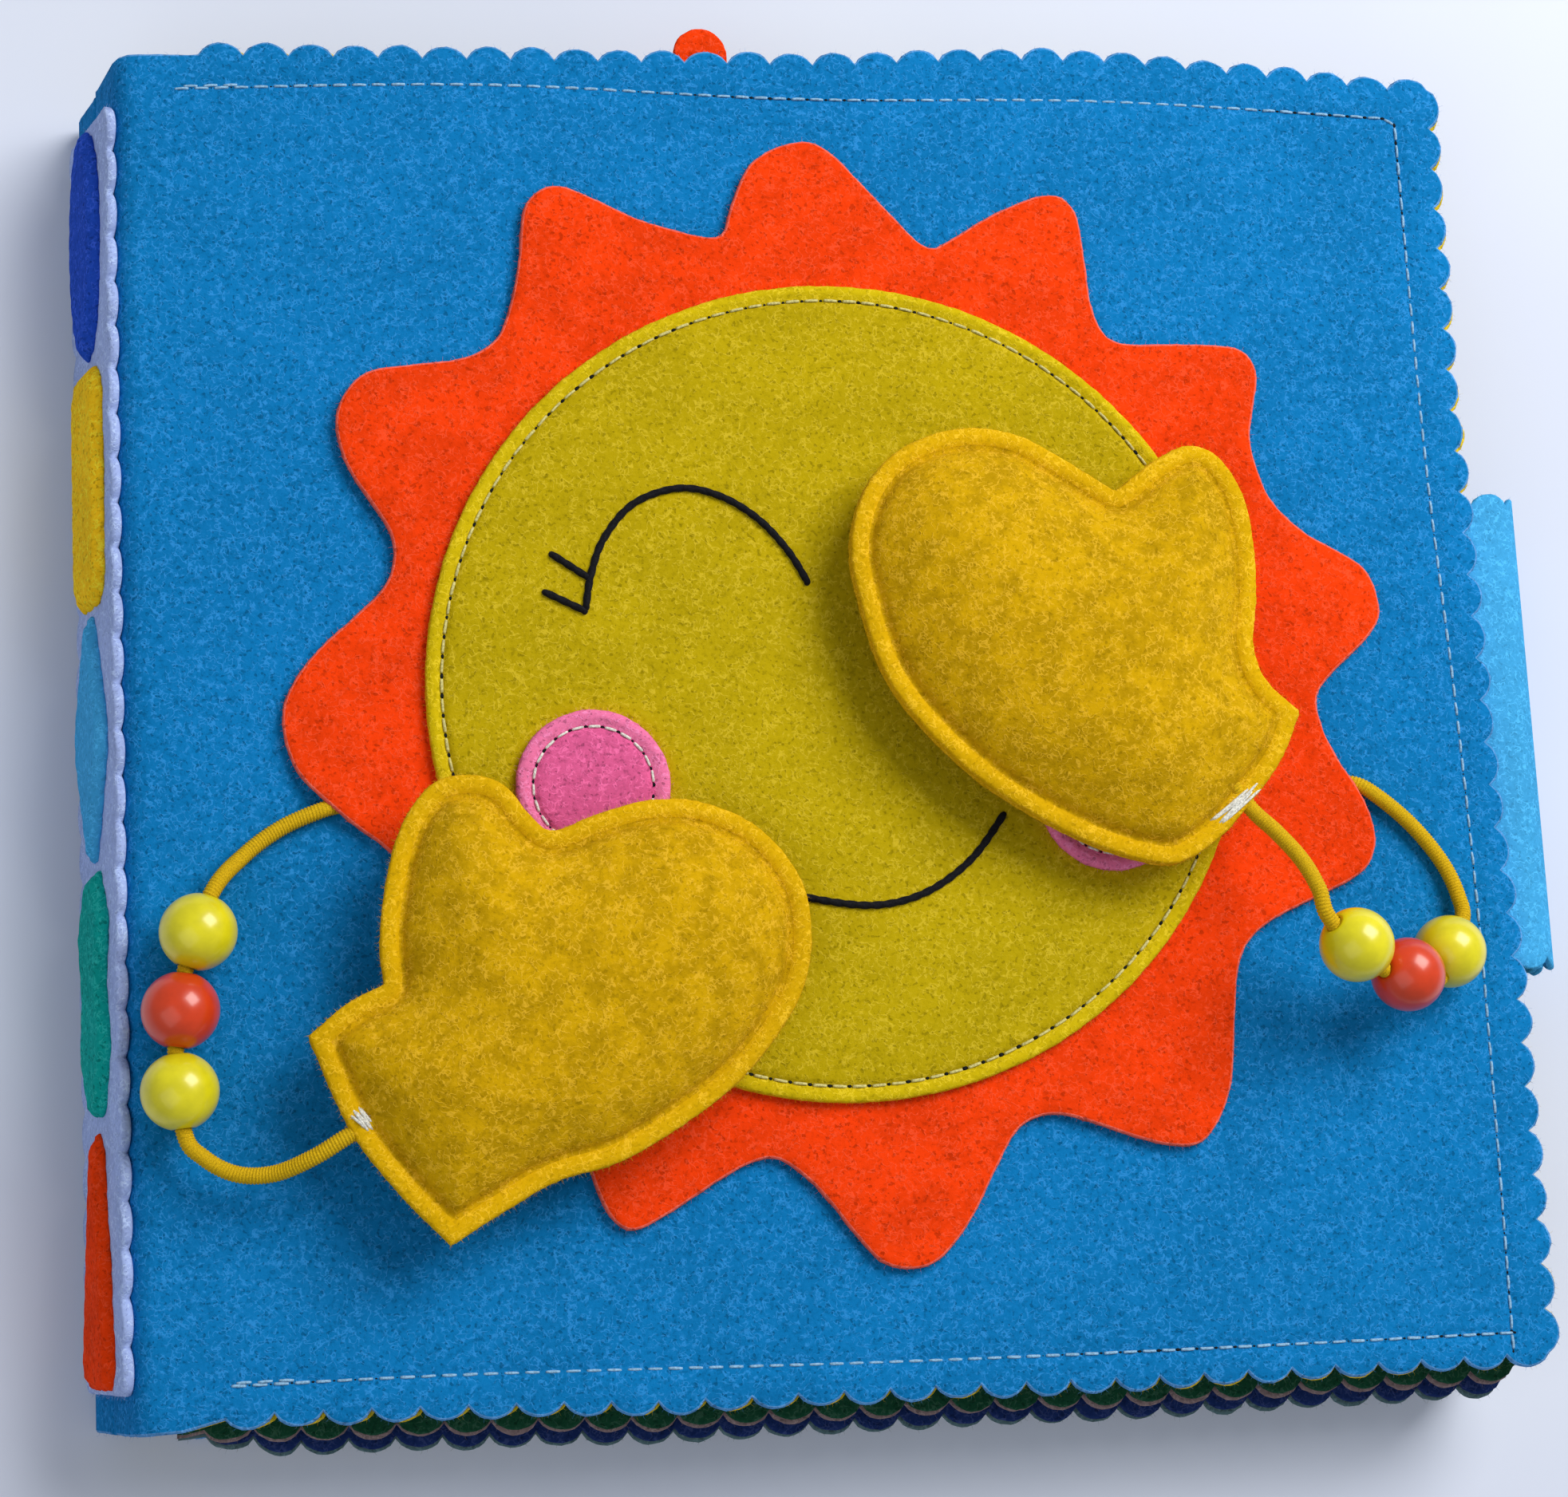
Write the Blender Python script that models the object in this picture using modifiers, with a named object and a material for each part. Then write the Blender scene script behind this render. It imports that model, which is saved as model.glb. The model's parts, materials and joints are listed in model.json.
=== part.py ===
"""Felt quiet book with a smiling sun, two stuffed mittens on beaded cord arms and a closing tab.

The book lies closed on its back cover: +X points from the spine to the fore-edge, +Y to the
top of the cover and +Z out of the front cover. All lengths are metres.
"""
import math

import bmesh
import bpy
from mathutils import Matrix, Vector

# Cover panels, measured to the mean line of the scallops
COVER_WIDTH = 0.220
COVER_HEIGHT = 0.214
FELT = 0.0015
BOARD = 0.0012
GAP = 0.0003
SEAM_MARGIN = 0.0075
FOLD_RELIEF = 0.0015
LINING_SETBACK = 0.006
PLAIN_EDGE = 0.012

# Pinked edge, one tooth as shares of its pitch and depth
SCALLOP_PITCH = 0.0071
SCALLOP_DEPTH = 0.0021
ROUND_TOOTH_SHARES = ((0.0, 0.0), (0.3, 1.0), (0.7, 1.0))
POINTED_TOOTH_SHARES = ((0.0, 0.0), (0.5, 1.0))

# Spine
SPINE_LEAN = 0.008
SPINE_LINING_RELIEF = 0.0035
SPINE_STRIP = 0.0014
STRIP_EDGE = 0.0012
SPINE_SHAPE = 0.0015
SPINE_SHAPE_WIDTH = 0.0150
SPINE_SHAPE_LENGTH = 0.0345
BLOCK_SHARES = (
    (-1, -0.78), (-0.6, -1), (0.6, -1), (1, -0.78), (1, 0.78), (0.6, 1), (-0.6, 1), (-1, 0.78),
)
DIAMOND_SHARES = (
    (-1, -0.15), (-0.15, -1), (0.15, -1), (1, -0.15), (1, 0.15), (0.15, 1), (-0.15, 1), (-1, 0.15),
)
PEBBLE_SHARES = (
    (-0.9, -0.5), (-0.3, -0.95), (0.5, -0.95), (1, -0.4), (0.7, 0.1), (0.9, 0.6), (0.4, 1),
    (-0.4, 0.95), (-1, 0.5), (-0.75, 0),
)
WEDGE_SHARES = ((-1, -0.8), (-0.75, -1), (0.75, -1), (1, -0.8), (0.35, 0.85), (0, 1), (-0.35, 0.85))

# Leaves
LEAF_COUNT = 3
PAGE_TAB_LEAF_COUNT = 2
LEAF_WADDING = 0.0015
LEAF_CLEARANCE = 0.0005
LEAF_INSET = 0.0006
LEAF_DROPS = (0.0022, 0.0046, 0.0034)
BINDING = 0.0009
BINDING_REACH = 0.0055
LEAF_PIVOT_RELIEF = 0.0005
LEAF_START_RELIEF = 0.0004
PAGE_TAB_WIDTH = 0.0090
PAGE_TAB_REACH = 0.0125
PAGE_TAB_ROOT = 0.0060
PAGE_TAB_PLACE_SHARE = 0.430
PAGE_TAB_FELT = 0.0012

# Sun on the front cover; places and outlines are shares of the cover or of the face radius
FACE_RADIUS = 0.0655
FACE_PLACE_SHARES = (0.500, 0.5175)
RAY_OUTLINE_SHARES = (
    (-0.26, 1.13), (-0.22, 1.19), (-0.16, 1.32), (-0.04, 1.38), (0.06, 1.34), (0.25, 1.13),
    (0.32, 1.12), (0.42, 1.18), (0.59, 1.25), (0.67, 1.19), (0.69, 0.97),
    (0.74, 0.87), (0.87, 0.86), (1.06, 0.85), (1.11, 0.77), (1.08, 0.62),
    (1.12, 0.46), (1.22, 0.36), (1.35, 0.28), (1.38, 0.15), (1.29, 0.05),
    (1.20, -0.05), (1.24, -0.20), (1.32, -0.37), (1.28, -0.49), (1.06, -0.59),
    (0.95, -0.70), (0.91, -0.98), (0.82, -1.13), (0.66, -1.11), (0.49, -1.05),
    (0.37, -1.08), (0.26, -1.26), (0.15, -1.38), (0.02, -1.37), (-0.10, -1.22),
    (-0.22, -1.12), (-0.36, -1.17), (-0.55, -1.27), (-0.63, -1.20), (-0.69, -1.02),
    (-0.78, -0.90), (-0.96, -0.92), (-1.10, -0.84), (-1.10, -0.62), (-1.06, -0.42),
    (-1.17, -0.31), (-1.30, -0.18), (-1.33, -0.02), (-1.24, 0.12), (-1.09, 0.26),
    (-1.07, 0.39), (-1.16, 0.54), (-1.19, 0.68), (-1.11, 0.79), (-0.90, 0.82),
    (-0.79, 0.89), (-0.74, 1.08), (-0.72, 1.21), (-0.63, 1.26), (-0.45, 1.18),
)
CHEEK_RADIUS = 0.0120
CHEEK_PLACE_SHARES = ((-0.615, -0.235), (0.615, -0.300))
EYE_SHARES = (
    (-0.615, 0.195), (-0.600, 0.275), (-0.565, 0.365), (-0.490, 0.450), (-0.380, 0.487),
    (-0.280, 0.467), (-0.190, 0.410), (-0.120, 0.330), (-0.075, 0.250),
)
LASH_SHARES = (((-0.627, 0.282), (-0.695, 0.330)), ((-0.645, 0.205), (-0.710, 0.235)))
SMILE_SHARES = (
    (-0.300, -0.420), (-0.200, -0.485), (-0.070, -0.522), (0.060, -0.535),
    (0.180, -0.505), (0.290, -0.430), (0.375, -0.325),
)
THREAD_RADIUS = 0.00055

# Stuffed mittens; outlines are shares of the mitten length from a middle point
MITTEN_LENGTH = 0.080
MITTEN_BACK_PUFF = 0.0045
MITTEN_FRONT_PUFF = 0.0065
MITTEN_FLANGE_SHARE = 0.915
MITTEN_RING_SHARES = (1.0, 0.915, 0.82, 0.60, 0.32)
FILLING_RING_SHARES = (0.82, 0.60, 0.32)
CROWN_POWER = 0.62
LEFT_MITTEN_PLACE_SHARES = (0.300, 0.3037)
LEFT_MITTEN_SHARES = (
    (-0.510, -0.088), (-0.440, -0.031), (-0.368, 0.003), (-0.374, 0.080), (-0.362, 0.180),
    (-0.330, 0.294), (-0.270, 0.375), (-0.194, 0.392), (-0.132, 0.370), (-0.091, 0.318),
    (-0.046, 0.282), (0.030, 0.308), (0.138, 0.335), (0.245, 0.328), (0.350, 0.275),
    (0.422, 0.181), (0.440, 0.074), (0.411, -0.048), (0.312, -0.179), (0.202, -0.264),
    (0.062, -0.340), (-0.058, -0.371), (-0.155, -0.420), (-0.260, -0.480), (-0.350, -0.382),
    (-0.435, -0.266),
)
LEFT_CUFF_SHARES = ((-0.435, -0.266), (0.530, -0.848))
RIGHT_MITTEN_PLACE_SHARES = (0.6682, 0.5374)
RIGHT_MITTEN_SHARES = (
    (0.240, 0.398), (0.170, 0.368), (0.084, 0.305), (-0.025, 0.376), (-0.120, 0.425),
    (-0.232, 0.434), (-0.346, 0.394), (-0.422, 0.314), (-0.456, 0.202), (-0.444, 0.091),
    (-0.404, -0.051), (-0.331, -0.161), (-0.228, -0.265), (-0.121, -0.339), (-0.014, -0.396),
    (0.080, -0.430), (0.160, -0.440), (0.244, -0.395), (0.312, -0.330), (0.386, -0.240),
    (0.432, -0.146), (0.366, -0.080), (0.346, -0.010), (0.359, 0.085), (0.362, 0.195),
    (0.346, 0.300), (0.300, 0.376),
)
RIGHT_CUFF_SHARES = ((0.312, -0.330), (0.680, 0.733))

# Cord arms with beads; routes are from the mitten's middle, heights from the cover's face
CORD_RADIUS = 0.0013
BEAD_RADIUS = 0.0058
BEAD_BORE_CLEARANCE = 0.0003
LEFT_ARM_START = (
    (-0.0376, 0.0282, 0.0016), (-0.0438, 0.0256, 0.0016), (-0.0495, 0.0214, 0.0025),
)
LEFT_ARM_BEADED = (
    (-0.0544, 0.0153, 0.0062), (-0.0584, 0.0040, 0.0062), (-0.0600, -0.0079, 0.0062),
    (-0.0590, -0.0199, 0.0062),
)
LEFT_ARM_END = (
    (-0.0562, -0.0238, 0.0064), (-0.0515, -0.0264, 0.0070), (-0.0460, -0.0266, 0.0084),
    (-0.0404, -0.0246, 0.0108), (-0.0356, -0.0219, 0.0118),
)
RIGHT_ARM_START = (
    (0.0487, -0.0226, 0.0016), (0.0552, -0.0280, 0.0016), (0.0603, -0.0345, 0.0016),
    (0.0626, -0.0405, 0.0022),
)
RIGHT_ARM_BEADED = (
    (0.0622, -0.0454, 0.0036), (0.0549, -0.0548, 0.0091), (0.0437, -0.0529, 0.0152),
    (0.0345, -0.0457, 0.0194),
)
RIGHT_ARM_END = (
    (0.0327, -0.0406, 0.0198), (0.0310, -0.0358, 0.0178), (0.0284, -0.0310, 0.0146),
    (0.0258, -0.0273, 0.0121),
)
LEFT_BEAD_SHARES = (0.5, 0.5, 0.5)
RIGHT_BEAD_SHARES = (0.48, 0.525, 0.5)
ROUTE_STEPS = 2

# Closing tab at the fore-edge
TAB_FELT = 0.0012
TAB_WIDTH = 0.080
TAB_MIDDLE_SHARE = 0.478
TAB_STANDOFF = 0.0089
TAB_HEM_HEIGHT = 0.0040
TAB_AXIS_OFFSET = 0.0024
TAB_AXIS_RELIEF = 0.0003
HOOK_THICKNESS = 0.0010
HOOK_CLEARANCE = 0.0007
HOOK_WIDTH = 0.060
HOOK_MARGIN = 0.0006
LIP_TOP = 0.0130

CUT_SIDES = 48
CHEEK_SIDES = 24
OVAL_SIDES = 20
RAY_STEPS = 2
PAGE_TAB_STEPS = 8
TAB_BEND_STEPS = 4
TUBE_ROUND_STEPS = 2
BEAD_STEPS = 14
BEAD_PROFILE_POINTS = 7
BEAD_MERGE = 0.00001
MITTEN_CREASE_DEGREES = 50

# Colours: linear red, green, blue, then roughness
COLOURS = {
    "blue_felt": (0.010, 0.190, 0.480, 0.95),
    "lining_felt": (0.700, 0.480, 0.020, 0.95),
    "board": (0.700, 0.700, 0.680, 0.90),
    "lilac_felt": (0.480, 0.500, 0.780, 0.95),
    "royal_felt": (0.020, 0.070, 0.380, 0.95),
    "golden_felt": (0.820, 0.450, 0.010, 0.95),
    "sky_felt": (0.080, 0.400, 0.700, 0.95),
    "teal_felt": (0.020, 0.300, 0.330, 0.95),
    "orange_felt": (0.900, 0.080, 0.005, 0.95),
    "green_felt": (0.015, 0.080, 0.040, 0.95),
    "mauve_felt": (0.230, 0.140, 0.150, 0.95),
    "navy_felt": (0.010, 0.025, 0.110, 0.95),
    "grey_teal_felt": (0.080, 0.140, 0.150, 0.95),
    "mint_felt": (0.150, 0.620, 0.450, 0.95),
    "pale_felt": (0.550, 0.570, 0.600, 0.95),
    "face_felt": (0.580, 0.420, 0.005, 0.95),
    "pink_felt": (0.800, 0.110, 0.350, 0.95),
    "mitten_felt": (0.720, 0.440, 0.005, 0.95),
    "wadding": (0.850, 0.850, 0.830, 1.00),
    "black_thread": (0.010, 0.010, 0.012, 0.60),
    "cord": (0.650, 0.380, 0.015, 0.70),
    "bead_yellow": (0.740, 0.660, 0.015, 0.20),
    "bead_orange": (0.740, 0.070, 0.020, 0.20),
    "fastener": (0.100, 0.350, 0.550, 0.90),
}
LEAF_COLOURS = (
    ("green_felt", "mauve_felt"), ("navy_felt", "grey_teal_felt"), ("mint_felt", "pale_felt"),
)

# Heights that follow from the layers
BACK_BOARD_Z = FELT + GAP
BACK_LINING_Z = BACK_BOARD_Z + BOARD + GAP
STACK_Z = BACK_LINING_Z + FELT + LEAF_CLEARANCE
LEAF_THICKNESS = FELT + GAP + LEAF_WADDING + GAP + FELT
LEAF_STEP = LEAF_THICKNESS + LEAF_CLEARANCE
FRONT_LINING_Z = STACK_Z + LEAF_COUNT * LEAF_STEP
FRONT_BOARD_Z = FRONT_LINING_Z + FELT + GAP
FRONT_FELT_Z = FRONT_BOARD_Z + BOARD + GAP
COVER_TOP_Z = FRONT_FELT_Z + FELT
RAYS_Z = COVER_TOP_Z + GAP
FACE_Z = RAYS_Z + FELT + GAP
CHEEK_Z = FACE_Z + FELT + GAP
MITTEN_Z = CHEEK_Z + FELT + GAP
MITTEN_RIM_Z = MITTEN_Z + FELT + MITTEN_BACK_PUFF
EDGE_INSET = SCALLOP_DEPTH / 2
TAB_AXIS_X = COVER_WIDTH + TAB_AXIS_OFFSET
TAB_AXIS_Z = FRONT_BOARD_Z + BOARD
FRONT_FOLD = Vector((0, 0, FRONT_FELT_Z + FELT / 2))
BACK_FOLD = Vector((-SPINE_LEAN, 0, FELT / 2))
SPINE_RISE = FRONT_FOLD - BACK_FOLD
SPINE_LENGTH = SPINE_RISE.length
SPINE_ANGLE = math.atan2(SPINE_RISE.x, SPINE_RISE.z)
FACE_PLACE = Vector((FACE_PLACE_SHARES[0] * COVER_WIDTH, FACE_PLACE_SHARES[1] * COVER_HEIGHT, 0))
TAB_MIDDLE = TAB_MIDDLE_SHARE * COVER_HEIGHT

BODY_PLACES = {"book": Vector((0, 0, 0))}


def clear_scene():
    for old in list(bpy.data.objects):
        bpy.data.objects.remove(old, do_unlink=True)


def material(colour_name):
    found = bpy.data.materials.get(colour_name)
    if found:
        return found
    red, green, blue, roughness = COLOURS[colour_name]
    made = bpy.data.materials.new(colour_name)
    made.use_nodes = True
    shader = made.node_tree.nodes["Principled BSDF"]
    shader.inputs["Base Color"].default_value = (red, green, blue, 1)
    shader.inputs["Roughness"].default_value = roughness
    made.diffuse_color = (red, green, blue, 1)
    return made


def axis_empty(name, place, parent_name):
    """Makes the empty that stands on a joint's axis and carries its body's pieces."""
    empty = bpy.data.objects.new(name + "_axis", None)
    book.objects.link(empty)
    place = Vector(place)
    BODY_PLACES[name] = place
    if parent_name:
        empty.parent = bpy.data.objects[parent_name + "_axis"]
        empty.location = place - BODY_PLACES[parent_name]
    else:
        empty.location = place


def carry(piece, body, colour_name, place, turn=None):
    """Gives a piece its colour, its place in the book and the body that carries it."""
    book.objects.link(piece)
    piece.data.materials.append(material(colour_name))
    piece.parent = bpy.data.objects[body + "_axis"]
    piece.matrix_local = Matrix.Translation(Vector(place) - BODY_PLACES[body]) @ (turn or Matrix())
    return piece


def smooth_line(points, steps, closed):
    """Reads points from a smooth curve through the given ones, steps to each span."""
    points = [Vector(point) for point in points]
    count = len(points)
    spans = count if closed else count - 1
    line = []
    for i in range(spans):
        near = [i - 1, i, i + 1, i + 2]
        if not closed:
            near = [min(max(j, 0), count - 1) for j in near]
        before, here, there, after = (points[j % count] for j in near)
        for step in range(steps):
            t = step / steps
            slope_here = (there - before) / 2
            slope_there = (after - here) / 2
            line.append(
                here * (2 * t**3 - 3 * t**2 + 1) + slope_here * (t**3 - 2 * t**2 + t)
                + there * (3 * t**2 - 2 * t**3) + slope_there * (t**3 - t**2)
            )
    if not closed:
        line.append(points[-1])
    return line


def plate(name, outline, thickness):
    """A flat piece cut to an outline, lying on its own XY plane with its underside at zero."""
    curve = bpy.data.curves.new(name, "CURVE")
    curve.dimensions = "2D"
    curve.fill_mode = "BOTH"
    curve.extrude = thickness / 2
    spline = curve.splines.new("POLY")
    spline.points.add(len(outline) - 1)
    for point, place in zip(spline.points, outline):
        point.co = (place[0], place[1], 0, 1)
    spline.use_cyclic_u = True
    return bpy.data.objects.new(name, curve)


def lay_plate(name, outline, thickness, body, colour_name, base_z):
    carry(plate(name, outline, thickness), body, colour_name, (0, 0, base_z + thickness / 2))


def box(name, low, high, body, colour_name):
    mesh = bpy.data.meshes.new(name)
    shape = bmesh.new()
    low, high = Vector(low), Vector(high)
    bmesh.ops.create_cube(shape, size=1, matrix=Matrix.Diagonal((*(high - low), 1)))
    shape.to_mesh(mesh)
    shape.free()
    carry(bpy.data.objects.new(name, mesh), body, colour_name, (low + high) / 2)


def tube(name, route, radius, body, colour_name, base_z):
    """A round tube with filled caps along a route."""
    curve = bpy.data.curves.new(name, "CURVE")
    curve.dimensions = "3D"
    curve.bevel_depth = radius
    curve.bevel_resolution = TUBE_ROUND_STEPS
    curve.use_fill_caps = True
    spline = curve.splines.new("POLY")
    spline.points.add(len(route) - 1)
    for point, place in zip(spline.points, route):
        point.co = (*place, 1)
    carry(bpy.data.objects.new(name, curve), body, colour_name, (0, 0, base_z))


def circle(radius, sides, centre=(0, 0)):
    x, y = centre[0], centre[1]
    turns = [2 * math.pi * i / sides for i in range(sides)]
    return [(x + radius * math.cos(turn), y + radius * math.sin(turn)) for turn in turns]


def toothed_side(start, end, outward, tooth_shares):
    """Points of one pinked side, from its start to just before its end."""
    start, end, outward = Vector(start), Vector(end), Vector(outward)
    run = end - start
    teeth = max(1, round(run.length / SCALLOP_PITCH))
    side = []
    for tooth in range(teeth):
        for along, rise in tooth_shares:
            side.append(start + run * (tooth + along) / teeth + outward * SCALLOP_DEPTH * rise)
    return side


def panel_outline(left, right, bottom, top, tooth_shares):
    """A panel that is straight at the spine and pinked on its other three sides."""
    right = right - EDGE_INSET
    bottom = bottom + EDGE_INSET
    top = top - EDGE_INSET
    start = left + PLAIN_EDGE
    outline = [(left, bottom)]
    outline += toothed_side((start, bottom), (right, bottom), (0, -1), tooth_shares)
    outline += toothed_side((right, bottom), (right, top), (1, 0), tooth_shares)
    outline += toothed_side((right, top), (start, top), (0, 1), tooth_shares)
    outline += [(start, top), (left, top)]
    return outline


def make_covers():
    """Back and front cover: outer felt, stiffening board and lining felt each."""
    covers = (("back_cover", "back_cover", -SPINE_LEAN, 0, BACK_BOARD_Z, BACK_LINING_Z),
              ("front_cover", "front_cover", 0, FRONT_FELT_Z, FRONT_BOARD_Z, FRONT_LINING_Z))
    for name, body, fold, felt_z, board_z, lining_z in covers:
        left = fold + FOLD_RELIEF
        outer = panel_outline(left, COVER_WIDTH, 0, COVER_HEIGHT, ROUND_TOOTH_SHARES)
        lay_plate(name + "_felt", outer, FELT, body, "blue_felt", felt_z)
        left = fold + LINING_SETBACK
        inner = panel_outline(left, COVER_WIDTH, 0, COVER_HEIGHT, POINTED_TOOTH_SHARES)
        lay_plate(name + "_lining", inner, FELT, body, "lining_felt", lining_z)
        low = (left, SEAM_MARGIN, board_z)
        high = (COVER_WIDTH - SEAM_MARGIN, COVER_HEIGHT - SEAM_MARGIN, board_z + BOARD)
        box(name + "_board", low, high, body, "board")


def spine_turn():
    """Turns a plate's +Z to the spine's outer side and its +X up along the spine."""
    along = SPINE_RISE.normalized()
    outward = Vector((-along.z, 0, along.x))
    across = outward.cross(along)
    return Matrix((along, across, outward)).transposed().to_4x4()


def lay_on_spine(name, outline, thickness, base, colour_name):
    """Lays a plate on the leaning spine; its outline runs (up the spine, along the book)."""
    turn = spine_turn()
    outward = turn @ Vector((0, 0, base + thickness / 2))
    carry(plate(name, outline, thickness), "spine", colour_name, BACK_FOLD + outward, turn)


def make_spine():
    """Leaning spine: outer felt, lining and a pinked strip with generic raised shapes."""
    for name, relief, base, colour_name in (
            ("spine_felt", FOLD_RELIEF, -FELT / 2, "blue_felt"),
            ("spine_lining", SPINE_LINING_RELIEF, -FELT / 2 - GAP - FELT, "lining_felt")):
        low, high = relief, SPINE_LENGTH - relief
        bottom, top = EDGE_INSET, COVER_HEIGHT - EDGE_INSET
        sides = [(low, bottom), (high, bottom), (high, top), (low, top)]
        lay_on_spine(name, sides, FELT, base, colour_name)
    strip_low = FOLD_RELIEF + STRIP_EDGE + SCALLOP_DEPTH
    strip_high = SPINE_LENGTH - FOLD_RELIEF - SCALLOP_DEPTH
    bottom, top = SCALLOP_PITCH, COVER_HEIGHT - SCALLOP_PITCH
    strip = toothed_side((strip_low, top), (strip_low, bottom), (-1, 0), ROUND_TOOTH_SHARES)
    strip += [(strip_low, bottom)]
    strip += toothed_side((strip_high, bottom), (strip_high, top), (1, 0), ROUND_TOOTH_SHARES)
    strip += [(strip_high, top)]
    strip_base = FELT / 2 + GAP
    lay_on_spine("spine_strip", strip, SPINE_STRIP, strip_base, "lilac_felt")
    shapes = (
        ("spine_oval", "royal_felt", circle(1, OVAL_SIDES)), ("spine_block", "golden_felt", BLOCK_SHARES),
        ("spine_diamond", "sky_felt", DIAMOND_SHARES), ("spine_pebble", "teal_felt", PEBBLE_SHARES),
        ("spine_wedge", "orange_felt", WEDGE_SHARES),
    )
    step = (top - bottom) / len(shapes)
    middle_up = (strip_low + strip_high) / 2
    half_up, half_along = SPINE_SHAPE_WIDTH / 2, SPINE_SHAPE_LENGTH / 2
    for i, (name, colour_name, shares) in enumerate(shapes):
        middle_along = top - (i + 0.5) * step
        outline = [(middle_up + half_up * up, middle_along + half_along * along) for up, along in shares]
        lay_on_spine(name, outline, SPINE_SHAPE, strip_base + SPINE_STRIP + GAP, colour_name)


def leaf_base_z(number):
    """Underside of a leaf; leaf 1 lies next to the front cover."""
    return STACK_Z + (LEAF_COUNT - number) * LEAF_STEP


def spine_inner_x(height):
    """Where the spine lining's inner face stands at a height."""
    slope = SPINE_RISE.x / SPINE_RISE.z
    inner = (FELT / 2 + GAP + FELT) / math.cos(SPINE_ANGLE)
    return BACK_FOLD.x + (height - BACK_FOLD.z) * slope + inner


def make_leaves():
    """Three leaves of two felts over wadding, each on a binding strip sewn to the spine."""
    for number in range(1, LEAF_COUNT + 1):
        name = f"leaf_{number}"
        drop = LEAF_DROPS[number - 1]
        base = leaf_base_z(number)
        middle = base + LEAF_THICKNESS / 2
        bottom, top = -drop, COVER_HEIGHT - drop
        binding_top = middle + BINDING / 2
        low = (spine_inner_x(binding_top) + GAP, SEAM_MARGIN, middle - BINDING / 2)
        high = (BINDING_REACH, COVER_HEIGHT - SEAM_MARGIN, binding_top)
        front_colour, back_colour = LEAF_COLOURS[number - 1]
        box(name + "_binding", low, high, "spine", front_colour)
        left = BINDING_REACH + LEAF_PIVOT_RELIEF + LEAF_START_RELIEF
        right = COVER_WIDTH - LEAF_INSET
        outline = panel_outline(left, right, bottom, top, POINTED_TOOTH_SHARES)
        lay_plate(name + "_back", outline, FELT, name, back_colour, base)
        lay_plate(name + "_front", outline, FELT, name, front_colour, base + LEAF_THICKNESS - FELT)
        low = (left, bottom + SEAM_MARGIN, base + FELT + GAP)
        high = (right - SEAM_MARGIN, top - SEAM_MARGIN, base + FELT + GAP + LEAF_WADDING)
        box(name + "_wadding", low, high, name, "wadding")


def make_page_tab():
    """Round-ended felt tab sewn into the top edge of the middle leaf."""
    half = PAGE_TAB_WIDTH / 2
    middle = PAGE_TAB_PLACE_SHARE * COVER_WIDTH
    end = COVER_HEIGHT + PAGE_TAB_REACH - half
    root = COVER_HEIGHT - LEAF_DROPS[PAGE_TAB_LEAF_COUNT - 1] - PAGE_TAB_ROOT
    arc = [math.pi * i / PAGE_TAB_STEPS for i in range(PAGE_TAB_STEPS + 1)]
    outline = [(middle + half * math.cos(a), end + half * math.sin(a)) for a in arc]
    outline += [(middle - half, root), (middle + half, root)]
    base = leaf_base_z(PAGE_TAB_LEAF_COUNT) + (LEAF_THICKNESS - PAGE_TAB_FELT) / 2
    lay_plate("page_tab", outline, PAGE_TAB_FELT, f"leaf_{PAGE_TAB_LEAF_COUNT}", "orange_felt", base)


def on_face(shares):
    """Turns shares of the face radius into places on the cover."""
    return [(FACE_PLACE.x + x * FACE_RADIUS, FACE_PLACE.y + y * FACE_RADIUS) for x, y in shares]


def make_sun():
    """Sun rays, face, cheeks and the embroidered eyes and smile."""
    rays = smooth_line([(x, y, 0) for x, y in on_face(RAY_OUTLINE_SHARES)], RAY_STEPS, True)
    lay_plate("sun_rays", rays, FELT, "front_cover", "orange_felt", RAYS_Z)
    disc = circle(FACE_RADIUS, CUT_SIDES, FACE_PLACE)
    lay_plate("sun_face", disc, FELT, "front_cover", "face_felt", FACE_Z)
    for name, centre in zip(("cheek_left", "cheek_right"), on_face(CHEEK_PLACE_SHARES)):
        disc = circle(CHEEK_RADIUS, CHEEK_SIDES, centre)
        lay_plate(name, disc, FELT, "front_cover", "pink_felt", CHEEK_Z)
    thread_z = CHEEK_Z + THREAD_RADIUS
    threads = [("smile", 1, SMILE_SHARES)]
    for eye, side in (("eye_left", 1), ("eye_right", -1)):
        threads.append((eye, side, EYE_SHARES))
        threads += [(f"{eye}_lash_{i}", side, shares) for i, shares in enumerate(LASH_SHARES, 1)]
    for name, side, shares in threads:
        route = [(x, y, 0) for x, y in on_face([(side * x, y) for x, y in shares])]
        tube(name, route, THREAD_RADIUS, "front_cover", "black_thread", thread_z)


def crown(share):
    """Height of the swelling, from 0 at the flange to 1 in the middle."""
    inside = max(0.0, 1 - (share / MITTEN_FLANGE_SHARE) ** 2)
    return inside ** CROWN_POWER


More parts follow.
